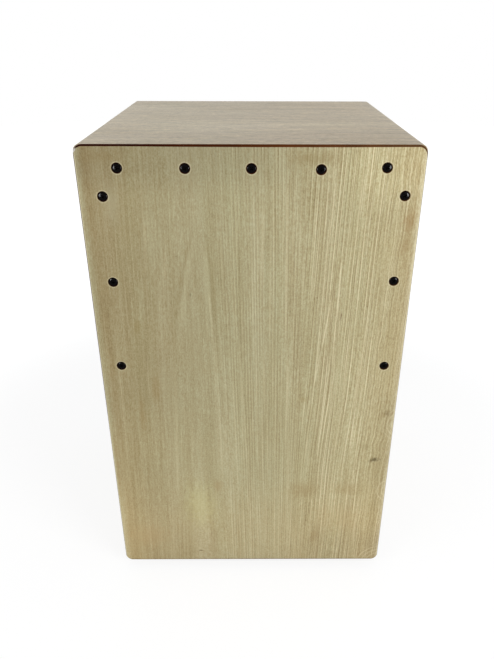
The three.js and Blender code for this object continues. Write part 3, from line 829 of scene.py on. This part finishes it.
finishLook = {
    "blackOxide": {"color": (4, 3, 3), "dark": (1, 1, 1), "rough": 0.13, "metal": 0.0, "size": 1.2,
                   "bump": 1e-5, "specular": 0.02, "dust": 0.0, "uneven": 0.08},
    "zincSteel": {"color": (200, 202, 203), "dark": (164, 167, 170), "rough": 0.34, "metal": 1.0,
                  "size": 1.6, "bump": 2e-5},
    "snareSteel": {"color": (216, 216, 213), "dark": (176, 176, 174), "rough": 0.24, "metal": 1.0,
                   "size": 1.0, "bump": 1e-5},
    "solder": {"color": (170, 172, 172), "dark": (118, 120, 122), "rough": 0.45, "metal": 0.9, "size": 1.4,
               "bump": 1e-4},
    "blackRubber": {"color": (40, 39, 38), "dark": (24, 24, 23), "rough": 0.72, "metal": 0.0, "size": 1.2,
                    "bump": 8e-5},
    "driedGlue": {"color": (206, 178, 120), "dark": (176, 142, 84), "rough": 0.35, "metal": 0.0,
                  "size": 4.0, "bump": 5e-5},
}


dustTint = (150, 142, 130)


def makeFinish(name):
    # mottled colour, sheen and a fine uneven surface, with pale dust specks scattered over it
    look = finishLook[name]
    material, tree = newMaterial(name)
    place = objectMm(tree)
    clouds, specks = useGroup(handling, Vector=place, Size=look["size"])
    color = blendColor(clouds, tone(*look["dark"]), tone(*look["color"]))
    color = paint(color, specks * look.get("dust", 0.1), dustTint)
    rough = vary(clouds, look.get("uneven", 0.35), look["rough"])
    rough = calc("MULTIPLY_ADD", specks, 0.2, rough, clamp=True)
    coat(color, rough, clouds, (0.5, look["bump"]),
         {"Metallic": look["metal"], "Specular IOR Level": look.get("specular", 0.5)})
    return material


blackOxide, zincSteel, snareSteel, solder, blackRubber, driedGlue = (makeFinish(name) for name in finishLook)
print("finishes ready")

# Front plate

tapa = {
    "roundover": 2.4, "corner": 8, "cornerSteps": 24, "roundSteps": 9, "support": 0.6,
    "mouth": 4.7, "throat": 2.05, "coneStart": 0.7, "lip": 0.12, "sides": 48,
}


def plateOutline(radius, steps):
    middle = (0, boxMiddle)
    return lambda inset: roundedRing(box["width"], box["height"], radius, inset, steps, middle)


def roundoverProfile(face, back, roundover, steps, support, sign):
    # (inset, y) from the flat of the face round its edge to the flat of the back; sign is -1 for the
    # front plate and 1 for the rear one
    turn = np.linspace(0, math.pi / 2, steps)
    curve = [(roundover * (1 - math.sin(t)), face - sign * roundover * (1 - math.cos(t))) for t in turn]
    return [(roundover + support, face), *curve, (0, back + sign * 0.15), (0.15, back),
            (0.15 + support, back)]


def makeTapa():
    face, back = box["front"], box["shellFront"]
    ring = plateOutline(tapa["corner"], tapa["cornerSteps"])
    profile = roundoverProfile(face, back, tapa["roundover"], tapa["roundSteps"], tapa["support"], -1)
    surfaces = [carried(profile, ring)]
    mouth, throat, lip, support, sides = (tapa[key] for key in ("mouth", "throat", "lip", "support", "sides"))
    coneEnd = tapa["coneStart"] + (mouth - throat) * 1.9 / 2.25
    hole = [(mouth + support, face), (mouth + lip, face), (mouth, face + lip),
            (mouth, face + tapa["coneStart"]), (throat, min(face + coneEnd, back - 0.02)),
            (throat, back), (throat + support, back)]
    places = tapaScrewPlaces()
    for middle in places:
        surfaces.append(carried(hole, lambda radius, middle=middle: circleRing(radius, sides, middle)))
    surfaces.append(flatFill(face, ring(profile[0][0]), [(mouth + support, sides, m) for m in places]))
    surfaces.append(flatFill(back, ring(profile[-1][0]), [(throat + support, sides, m) for m in places]))
    makePiece("tapaPlate", surfaces, faceVeneer, 35, "front_tapa", "face_veneer")


makeTapa()
print("front plate ready")

# Box

shell = {"arcSteps": 16, "support": 1.0, "rows": (-147, -146.8, -140, 138, 144.8, 145), "chamfer": 0.2}


def panelSection(span, inset):
    # the mitred section of one panel, outer face at 0, drawn inset at the ends for a small chamfer
    gap = box["glueGap"] / math.sqrt(2)
    radius = box["corner"]
    arcEnd = math.degrees(math.acos(-gap / (radius * math.sqrt(2)))) - 45
    centre = span / 2 - radius
    inner = span / 2 - box["panel"] - gap
    right = arc((centre, -radius), radius - inset, arcEnd, 90, shell["arcSteps"])
    left = arc((-centre, -radius), radius - inset, 90, 180 - arcEnd, shell["arcSteps"])
    support = centre - shell["support"]
    points = [(-inner, inset - box["panel"]), (inner, inset - box["panel"]), *right,
              (support, -inset), (-support, -inset), *left]
    return np.array(points)


def makePanel(name, span, turn, middle, material, node):
    # the section carried from front to back, then turned about Y to its side of the box
    rows = []
    last = len(shell["rows"]) - 1
    for index, y in enumerate(shell["rows"]):
        section = panelSection(span, shell["chamfer"] if index in (0, last) else 0)
        rows.append(raised(section, y))
    points = np.stack(rows)
    count = points.shape[1]
    cos, sin = round(math.cos(turn)), round(math.sin(turn))
    x, z = points[..., 0].copy(), points[..., 2].copy()
    points[..., 0] = middle[0] + x * cos + z * sin
    points[..., 2] = middle[1] - x * sin + z * cos
    faces = gridFaces(len(rows), count) + ringFace(count) + ringFace(count, last * count)
    makePiece(name, [(points, faces)], material, 35, node, "body_plywood")


makePanel("seatPanel", box["width"], 0, (0, boxTop), seatVeneer, "top_panel")
makePanel("basePanel", box["width"], math.pi, (0, box["lift"]), seatVeneer, "bottom_panel")
makePanel("leftPanel", box["height"], -math.pi / 2, (-half, boxMiddle), sideVeneer, "left_side_panel")
makePanel("rightPanel", box["height"], math.pi / 2, (half, boxMiddle), sideVeneer, "right_side_panel")

rear = {"roundover": 3.5, "hole": 55, "holeLift": 200, "holeRoundover": 2, "sides": 96}


def makeRearPanel():
    face, back = box["back"], box["shellBack"]
    ring = plateOutline(box["corner"], tapa["cornerSteps"])
    profile = roundoverProfile(face, back, rear["roundover"], tapa["roundSteps"], tapa["support"], 1)
    centre = (0, box["lift"] + rear["holeLift"])
    radius, curve = rear["hole"], rear["holeRoundover"]
    turn = np.linspace(0, math.pi / 2, 9)
    hole = [(radius + curve + 0.6, face)]
    hole += [(radius + curve * (1 - math.sin(t)), face - curve * (1 - math.cos(t))) for t in turn]
    hole += [(radius, back + 0.3), (radius + 0.3, back), (radius + 0.9, back)]
    surfaces = [carried(profile, ring), carried(hole, lambda r: circleRing(r, rear["sides"], centre))]
    surfaces.append(flatFill(face, ring(profile[0][0]), [(hole[0][0], rear["sides"], centre)]))
    surfaces.append(flatFill(back, ring(profile[-1][0]), [(hole[-1][0], rear["sides"], centre)]))
    makePiece("rearPanel", surfaces, rearVeneer, 35, "back_panel", "body_plywood")


makeRearPanel()
print("box ready")

# Screws

tapaScrew = {
    "lines": (0, 0.2, 0.36, 0.5, 0.9, 1.35, 1.9, 2.15, 3.0, 3.85), "slot": (0.3, 0.5), "reach": (0.8, 1.9),
    "depth": 1.5, "under": [(4, 0.16), (4, 0.3), (1.55, 2.3)], "dome": -0.32, "crown": 1.0,
    "core": 1.35, "ridge": 0.45, "pitch": 1.7, "start": 2.6, "length": 16.0, "tip": 4.0,
}
panScrew = {
    "lines": (0, 0.18, 0.32, 0.45, 0.8, 1.2, 1.8, 2.0, 2.4, 2.8), "slot": (0.28, 0.45), "reach": (0.8, 1.8),
    "depth": 1.3, "under": [(3.1, -0.95), (3.2, -0.6), (3.2, -0.1), (3.1, 0), (1.3, 0.1)],
    "dome": -2.2, "crown": 0.5, "core": 1.12, "ridge": 0.36, "pitch": 1.3, "start": 0.4,
    "length": 13.9, "tip": 4.0,
}


def crossHeadScrew(look, length):
    # Head: a square net of lines, straight over the cross recess and bent into a disc at the rim; its
    # depth is the deeper of two tapering slots. Shank: core radius + a ridge that climbs one pitch in
    # each turn.
    half = np.array(look["lines"], float)
    lines = np.concatenate([-half[:0:-1], half])
    u, v = np.meshgrid(lines, lines)
    edge = half[-1]
    span = np.maximum(np.abs(u), np.abs(v))
    reach = np.maximum(np.hypot(u, v), 1e-9)
    bend = smoothStep(span, look["reach"][1], edge)
    scale = 1 - bend + bend * span / reach
    x, z = u * scale, v * scale

    def slotDepth(offCentre, along):
        return (1 - smoothStep(offCentre, *look["slot"])) * (1 - smoothStep(along, *look["reach"]))

    recess = look["depth"] * np.maximum(slotDepth(np.abs(v), np.abs(u)), slotDepth(np.abs(u), np.abs(v)))
    crown = look["dome"] * (1 - look["crown"] * (np.hypot(x, z) / edge) ** 3)
    head = np.stack([x, crown + recess, z], axis=-1)
    count = len(lines)
    surfaces = [(head, gridFaces(count, count, False))]
    index = np.arange(count * count).reshape(count, count)
    rim = np.concatenate([index[0, :-1], index[:-1, -1], index[-1, :0:-1], index[:0:-1, 0]])
    rimPoints = head.reshape(-1, 3)[rim]
    turn = np.arctan2(rimPoints[:, 2], rimPoints[:, 0])
    rows = [rimPoints]
    for radius, y in look["under"]:
        rows.append(raised(np.stack([radius * np.cos(turn), radius * np.sin(turn)], axis=-1), y))
    y = np.arange(look["start"], length - 0.05, look["pitch"] / 6)[:, None]
    taper = np.clip((length - y) / look["tip"], 0.03, 1)
    rise = np.clip((y - look["start"]) / look["pitch"], 0, 1)
    wave = np.abs(2 * ((y / look["pitch"] - turn[None, :] / (2 * math.pi)) % 1) - 1)
    radius = (look["core"] + look["ridge"] * rise * wave ** 3) * taper
    thread = np.stack([radius * np.cos(turn), y + 0 * radius, radius * np.sin(turn)], axis=-1)
    rows = np.concatenate([np.stack(rows), thread])
    faces = gridFaces(len(rows), len(turn)) + ringFace(len(turn), (len(rows) - 1) * len(turn))
    surfaces.append((rows, faces))
    return surfaces


def turned(surfaces, matrix, place=(0, 0, 0)):
    return [(np.asarray(points).reshape(-1, 3) @ np.asarray(matrix).T + np.asarray(place), faces)
            for points, faces in surfaces]


def about(axis, angle):
    # a turn about an axis, from the first of the two others to the second
    first, second = {"X": (1, 2), "Y": (2, 0), "Z": (0, 1)}[axis]
    turn = np.eye(3)
    turn[first, first] = turn[second, second] = math.cos(angle)
    turn[second, first] = math.sin(angle)
    turn[first, second] = -turn[second, first]
    return turn


def makeTapaScrews():
    screw = crossHeadScrew(tapaScrew, tapaScrew["length"])
    turns = (0.3, 1.1, 0.75, 0.15, 0.5, 1.3, 0.9, 0.2, 0.65, 1.0, 0.4)  # how each was left by the driver
    for number, ((x, z), turn) in enumerate(zip(tapaScrewPlaces(), turns), 1):
        surfaces = turned(screw, about("Y", turn), (x, box["front"] + 0.4, z))
        makePiece(f"tapaScrew{number:02d}", surfaces, blackOxide, 40, f"tapa_screw_{number:02d}",
                  "black_screw")


makeTapaScrews()
print("tapa screws ready")

# Snare

snare = {
    "lean": 0.0681, "barTop": 265.07, "seat": -132, "spacing": 140, "strands": 10, "pitch": 4, "coil": 0.73,
    "wire": 0.22, "coilPitch": 1.3, "steps": 10, "wireSides": 4, "top": 174.93, "foot": -7, "strandY": -1.85,
    "plate": (41, 22, 1.5), "plateY": (-1.3, -0.3), "clamp": (41, 10, 4.999), "clampY": (-3.6, -1.6),
    "clampZ": -15, "screwX": 14.5, "hole": 1.8, "chamfer": 0.2, "bead": (38.5, 1.5), "barScrew": 31.4,
}


def makePlate(name, size, ys, middle, holes, matrix, place, material, node, slot):
    # a flat plate with rounded corners and chamfered edges, drilled right through
    width, height, radius = size
    front, back = ys
    c, s = snare["chamfer"], 0.3
    ring = lambda inset: roundedRing(width, height, radius, inset, 10, middle)
    profile = [(c + s, front), (c, front), (0, front + c), (0, back - c), (c, back), (c + s, back)]
    surfaces = [carried(profile, ring)]
    r = snare["hole"]
    bore = [(r + c + s, front), (r + c, front), (r, front + c), (r, back - c), (r + c, back),
            (r + c + s, back)]
    for hole in holes:
        surfaces.append(carried(bore, lambda radius, hole=hole: circleRing(radius, 32, hole)))
    for y in (front, back):
        surfaces.append(flatFill(y, ring(c + s), [(r + c + s, 32, hole) for hole in holes]))
    makePiece(name, turned(surfaces, matrix, place), material, 35, node, slot)


def coiledStrand(x):
    # wire centre: x + coil * cos, strandY + coil * sin, rising coilPitch a turn, with a small circle
    # carried along it
    look = snare
    turns = (look["top"] - look["foot"]) / look["coilPitch"]
    angle = np.linspace(0, turns * 2 * math.pi, int(turns * look["steps"]))[:, None]
    side = np.linspace(0, 2 * math.pi, look["wireSides"], endpoint=False)[None, :]
    rise = look["coilPitch"] / (2 * math.pi)
    z = look["foot"] + look["wire"] + angle * (look["top"] - look["foot"] - 2 * look["wire"]) / angle[-1]
    norm = math.hypot(look["coil"], rise)
    out = look["wire"] * np.cos(side)
    lift = look["wire"] * np.sin(side)
    radius = look["coil"] + out
    points = np.stack([x + radius * np.cos(angle) + lift * rise / norm * np.sin(angle),
                       look["strandY"] + radius * np.sin(angle) - lift * rise / norm * np.cos(angle),
                       z + lift * look["coil"] / norm + 0 * out], axis=-1)
    count, sides = points.shape[:2]
    return points, gridFaces(count, sides) + ringFace(sides) + ringFace(sides, (count - 1) * sides)


def solderBead():
    # a lumpy bar along X: radius swells and shrinks along it and closes at both ends
    length, radius = snare["bead"]
    x = np.linspace(-length / 2, length / 2, 60)[:, None]
    turn = np.linspace(0, 2 * math.pi, 20, endpoint=False)[None, :]
    end = np.sqrt(np.clip(1 - (np.abs(x) / (length / 2)) ** 14, 0, 1))
    strandLumps = 0.07 * np.cos(x * 2 * math.pi / snare["pitch"] + math.pi)
    r = radius * end * (0.9 + strandLumps + 0.03 * np.sin(x * 3.1 + 2 * turn))
    points = np.stack([x + 0 * turn, snare["strandY"] + r * np.cos(turn),
                       snare["foot"] / 2 + r * np.sin(turn)], axis=-1)
    return points, gridFaces(60, 20)


def makeSnare():
    look = snare
    lean = about("X", look["lean"])
    plateMiddle = (0, -look["plate"][1] / 2)
    holes = [(-look["screwX"], look["clampZ"]), (look["screwX"], look["clampZ"])]
    middle = (look["strands"] - 1) / 2
    strands = [coiledStrand((i - middle) * look["pitch"]) for i in range(look["strands"])]
    for side, sign in (("left", -1), ("right", 1)):
        place = (sign * look["spacing"] / 2, look["seat"], look["barTop"])
        name = side.capitalize()
        makePlate(f"snarePlate{name}", look["plate"], look["plateY"], plateMiddle, holes, lean, place,
                  zincSteel, None, "zinc_steel")
        makePiece(f"snareSolder{name}", turned([solderBead()], lean, place), solder, 50, None, "snare_wire")
        makePiece(f"snareStrands{name}", turned(strands, lean, place), snareSteel, 180,
                  f"snare_strip_{side}", "snare_wire")
        makePlate(f"snareClamp{name}", look["clamp"], look["clampY"], (0, look["clampZ"]), holes, lean, place,
                  zincSteel, f"snare_clamp_{side}", "zinc_steel")
        for number, x in ((1, -look["screwX"]), (2, look["screwX"])):
            start = lean @ np.array([x, look["clampY"][0] - 0.3, look["clampZ"]]) + np.array(place)
            screw = turned(crossHeadScrew(panScrew, panScrew["length"]), about("Y", 0.4 + number))
            screw = turned(screw, lean, start)
            makePiece(f"clampScrew{name}{number}", screw, zincSteel, 40,
                      f"snare_clamp_screw_{side}_{number}", "zinc_steel")
        barScrew = turned(crossHeadScrew(panScrew, look["barScrew"]), about("Z", math.pi),
                          (sign * 131, -114, look["barTop"] - 20))
        makePiece(f"barScrew{name}", barScrew, zincSteel, 40, f"snare_bar_screw_{side}", "zinc_steel")


makeSnare()
print("snare ready")

# Strips, blocks and bar: the CAD's shapes with their edges eased

timber = {
    "ease": 0.5, "segments": 2,
    "pieces": [(f"{row}_strip_{side}", stripAcross if side in ("top", "bottom") else stripUpright, "softwood")
               for row in ("front", "rear") for side in ("top", "bottom", "left", "right")]
    + [(f"corner_block_{corner}", blockWood, "softwood")
       for corner in ("top_left", "top_right", "bottom_left", "bottom_right")]
    + [("snare_bar", barWood, "hardwood")],
}


def camel(name):
    first, *others = name.split("_")
    return first + "".join(word.capitalize() for word in others)


def easeTimber():
    for node, material, slot in timber["pieces"]:
        mesh = frame["nodes"][node].data.copy()
        mesh.name = camel(node)
        shell = bmesh.new()
        shell.from_mesh(mesh)
        bmesh.ops.remove_doubles(shell, verts=shell.verts, dist=1e-5)
        bmesh.ops.dissolve_limit(shell, angle_limit=math.radians(1), verts=shell.verts, edges=shell.edges)
        shell.to_mesh(mesh)
        shell.free()
        piece = bpy.data.objects.new(camel(node), mesh)
        finishPiece(piece, material, 35, node, slot)
        bevel = piece.modifiers.new("easedEdges", "BEVEL")
        bevel.width = timber["ease"] / 1000
        bevel.segments = timber["segments"]
        bevel.limit_method = "ANGLE"
        bevel.angle_limit = math.radians(40)
        bevel.use_clamp_overlap = True


easeTimber()
print("timber ready")

# Feet

foot = {
    "sides": 72, "floor": 13.5, "top": 16, "height": 10, "bore": 7, "boreDepth": 5.5, "hole": 1.8,
    "washer": 6, "washerLow": 4.5, "screwLength": 15.9, "inset": 45, "grooves": (8.6, 10.4),
}


def revolve(profile, sides, place):
    # a closed profile of (radius, height) carried round the Z axis
    turn = np.linspace(0, 2 * math.pi, sides, endpoint=False)[None, :]
    r, z = (np.array(column, float)[:, None] for column in zip(*profile))
    points = np.stack([place[0] + r * np.cos(turn), place[1] + r * np.sin(turn), z + 0 * turn], axis=-1)
    return points, gridFaces(len(profile), sides)


def makeFeet():
    look = foot
    grooves = [(r + across, up) for r in look["grooves"]
               for across, up in ((0, 0), (0.25, 0.4), (0.55, 0.4), (0.8, 0))]
    floorEdge = [(look["floor"] - 1.6 + 1.5 * math.sin(t), 1.5 * (1 - math.cos(t)))
                 for t in np.linspace(0, 1.4, 7)]
    body = [(look["hole"], look["boreDepth"]), (look["bore"] - 0.3, look["boreDepth"]),
            (look["bore"], look["boreDepth"] - 0.3), (look["bore"], 0.5), (look["bore"] + 0.15, 0.15),
            (look["bore"] + 0.5, 0), *grooves, *floorEdge, (look["top"] - 0.12, look["height"] - 0.7),
            (look["top"] - 0.1, look["height"] - 0.35), (look["top"] - 0.45, look["height"]),
            (look["hole"], look["height"]), (look["hole"], look["boreDepth"])]
    low, high, r = look["washerLow"], look["boreDepth"], look["washer"]
    washer = [(look["hole"], low + 0.1), (look["hole"] + 0.1, low), (r - 0.2, low), (r, low + 0.2),
              (r, high - 0.1), (r - 0.1, high), (look["hole"] + 0.1, high),
              (look["hole"], high - 0.1), (look["hole"], low + 0.1)]
    for row, ySign in (("front", -1), ("rear", 1)):
        for side, xSign in (("left", -1), ("right", 1)):
            place = (xSign * (150 - look["inset"]), ySign * (150 - look["inset"]))
            name = row.capitalize() + side.capitalize()
            makePiece(f"rubberFoot{name}", [revolve(body, look["sides"], place)], blackRubber, 40,
                      f"rubber_foot_{row}_{side}", "black_rubber")
            makePiece(f"footWasher{name}", [revolve(washer, look["sides"], place)], zincSteel, 30,
                      f"foot_washer_{row}_{side}", "zinc_steel")
            screw = turned(crossHeadScrew(panScrew, look["screwLength"]),
                           about("Y", 0.3 * xSign + 0.5 * ySign))
            makePiece(f"footScrew{name}", turned(screw, about("X", math.pi / 2), (*place, look["washerLow"])),
                      zincSteel, 40, f"foot_screw_{row}_{side}", "zinc_steel")


makeFeet()
print("feet ready")

# Glue in the mitres

def makeMitreGlue():
    # a thin diagonal slab in each mitre gap, a hair below the surface, carried from front to back
    gap, radius = box["glueGap"] / 2, box["corner"]
    reach = box["panel"] * math.sqrt(2) - (math.sqrt(2) - 1) * radius - 0.12
    for corner, (xSign, zSign) in {"TopLeft": (-1, 1), "TopRight": (1, 1), "BottomLeft": (-1, -1),
                                   "BottomRight": (1, -1)}.items():
        inner = np.array([xSign * (box["width"] / 2 - box["panel"]),
                          boxMiddle + zSign * (box["height"] / 2 - box["panel"])])
        out = np.array([xSign, zSign]) / math.sqrt(2)
        across = np.array([-out[1], out[0]]) * (gap - 0.01)
        section = np.array([inner + 0.3 * out - across, inner + 0.3 * out + across,
                            inner + reach * out + across, inner + reach * out - across])
        rows = np.stack([raised(section, y) for y in (box["shellFront"] + 0.1, box["shellBack"] - 0.1)])
        faces = gridFaces(2, 4) + ringFace(4) + ringFace(4, 4)
        makePiece(f"mitreGlue{corner}", [(rows, faces)], driedGlue, 35, None, "softwood")


makeMitreGlue()
print("glue ready")

# Camera, floor and light

cameraLook = {"place": (2.78, -672.52, 588.75), "pitch": 0.4743, "yaw": -0.0078, "roll": -0.0034,
              "lens": 607.98 / 659 * 36, "shiftX": -(258.3 - 247) / 659}


def makeCamera():
    look = cameraLook
    data = bpy.data.cameras.new("camera")
    data.sensor_fit = "VERTICAL"
    data.sensor_height = 36
    data.lens = look["lens"]
    data.shift_x = look["shiftX"]
    data.clip_start = 0.01
    camera = bpy.data.objects.new("camera", data)
    yaw, pitch, roll = look["yaw"], look["pitch"], look["roll"]
    side = np.array([math.cos(yaw), math.sin(yaw), 0])
    level = np.array([-math.sin(yaw), math.cos(yaw), 0])
    ahead = level * math.cos(pitch) + np.array([0, 0, -math.sin(pitch)])
    up = level * math.sin(pitch) + np.array([0, 0, math.cos(pitch)])
    right = math.cos(roll) * side - math.sin(roll) * up
    top = math.sin(roll) * side + math.cos(roll) * up
    turn = np.eye(4)
    turn[:3, 0], turn[:3, 1], turn[:3, 2] = right, top, -ahead
    turn[:3, 3] = np.array(look["place"]) / 1000
    camera.matrix_world = Matrix(turn.tolist())
    bpy.context.scene.collection.objects.link(camera)
    bpy.context.scene.camera = camera


studio = {"floor": 3.5, "floorShade": (0.22, 0.22, 0.22, 1), "glowNear": 0.83, "glowFar": 1.0,
          "near": (400, 900), "bounce": (0.72, 0.71, 0.70, 1), "sky": (0.95, 0.97, 1.0, 1),
          "skyStrength": 0.5}


def seenShare(tree):
    # 1 for a ray that the camera sees, straight or by a reflection
    path = put(tree, "ShaderNodeLightPath")
    return calc("MAXIMUM", path["Is Camera Ray"],
                calc("MAXIMUM", path["Is Glossy Ray"], path["Is Transmission Ray"]))


def makeFloor():
    look = studio
    material, tree = newMaterial("paleFloor")
    seen = seenShare(tree)
    lit = put(tree, "ShaderNodeBsdfDiffuse", {"Color": look["bounce"]})[0]
    faint = put(tree, "ShaderNodeBsdfDiffuse", {"Color": look["floorShade"]})[0]
    away = vectorMath("LENGTH", objectMm(tree), output="Value")
    strength = between(mask(away, *look["near"]), look["glowNear"], look["glowFar"])
    glow = put(tree, "ShaderNodeEmission", {"Strength": strength})[0]
    shown = put(tree, "ShaderNodeAddShader", {0: faint, 1: glow})[0]
    mixed = put(tree, "ShaderNodeMixShader", {0: seen, 1: lit, 2: shown})[0]
    # seen from below, the floor is clear
    below = put(tree, "ShaderNodeNewGeometry")["Backfacing"]
    clear = put(tree, "ShaderNodeBsdfTransparent")[0]
    whole = put(tree, "ShaderNodeMixShader", {0: below, 1: mixed, 2: clear})[0]
    put(tree, "ShaderNodeOutputMaterial", {"Surface": whole})
    reach = look["floor"]
    mesh = bpy.data.meshes.new("floor")
    corners = raised(circleRing(reach, 64), 0)[:, [0, 2, 1]]
    mesh.from_pydata(corners.tolist(), [], ringFace(64))
    mesh.materials.append(material)
    floor = bpy.data.objects.new("floor", mesh)
    bpy.context.scene.collection.objects.link(floor)


def makeWorld():
    world = bpy.data.worlds.new("studio")
    bpy.context.scene.world = world
    world.use_nodes = True
    tree = world.node_tree
    tree.nodes.clear()
    seen = seenShare(tree)
    soft = put(tree, "ShaderNodeBackground", {"Color": studio["sky"], "Strength": studio["skyStrength"]})[0]
    white = put(tree, "ShaderNodeBackground", {"Color": (1, 1, 1, 1), "Strength": 1.0})[0]
    mixed = put(tree, "ShaderNodeMixShader", {0: seen, 1: soft, 2: white})[0]
    put(tree, "ShaderNodeOutputWorld", {"Surface": mixed})


lamps = [  # name, place, aimed at, size, watts
    ("keyRight", (1.5, -1.5, 1.2), (0.0, -0.1, 0.25), (1.1, 1.1), 22),
    ("fillLeft", (-1.6, -1.3, 0.8), (0.0, -0.1, 0.25), (1.1, 1.3), 11.5),
    ("overhead", (0.1, 0.3, 1.9), (0.0, 0.0, 0.4), (1.4, 1.4), 2),
    ("sparkLeft", (-0.75, -1.8, 0.1), (0.0, -0.15, 0.3), (0.08, 0.08), 2.2),
    ("sparkRight", (0.95, -1.7, 0.1), (0.0, -0.15, 0.3), (0.08, 0.08), 2.2),
    ("glintLeft", (-1.0, -1.8, 0.22), (0.0, -0.15, 0.3), (0.3, 0.42), 70),
    ("glintRight", (0.95, -1.7, 0.22), (0.0, -0.15, 0.3), (0.3, 0.42), 70),
]


def makeLamps():
    # the glint lamps light the black screws alone; the large lamps leave no burnt patch on the seat
    screws = bpy.data.collections.new("glintScrews")
    for piece in list(bpy.data.objects):
        if "tapaScrew" in piece.name:
            screws.objects.link(piece)
    for name, place, target, size, watts in lamps:
        data = bpy.data.lights.new(name, "AREA")
        data.shape = "RECTANGLE"
        data.size, data.size_y = size
        data.energy = watts
        lamp = bpy.data.objects.new(name, data)
        lamp.visible_glossy = name.startswith(("spark", "glint"))
        lamp.visible_camera = False
        if name.startswith("glint"):
            lamp.light_linking.receiver_collection = screws
        lamp.location = place
        lamp.rotation_euler = (Vector(target) - Vector(place)).to_track_quat("-Z", "Y").to_euler()
        bpy.context.scene.collection.objects.link(lamp)


makeCamera()
makeFloor()
makeWorld()
makeLamps()
bpy.context.scene.view_settings.view_transform = "Standard"
print("studio ready")
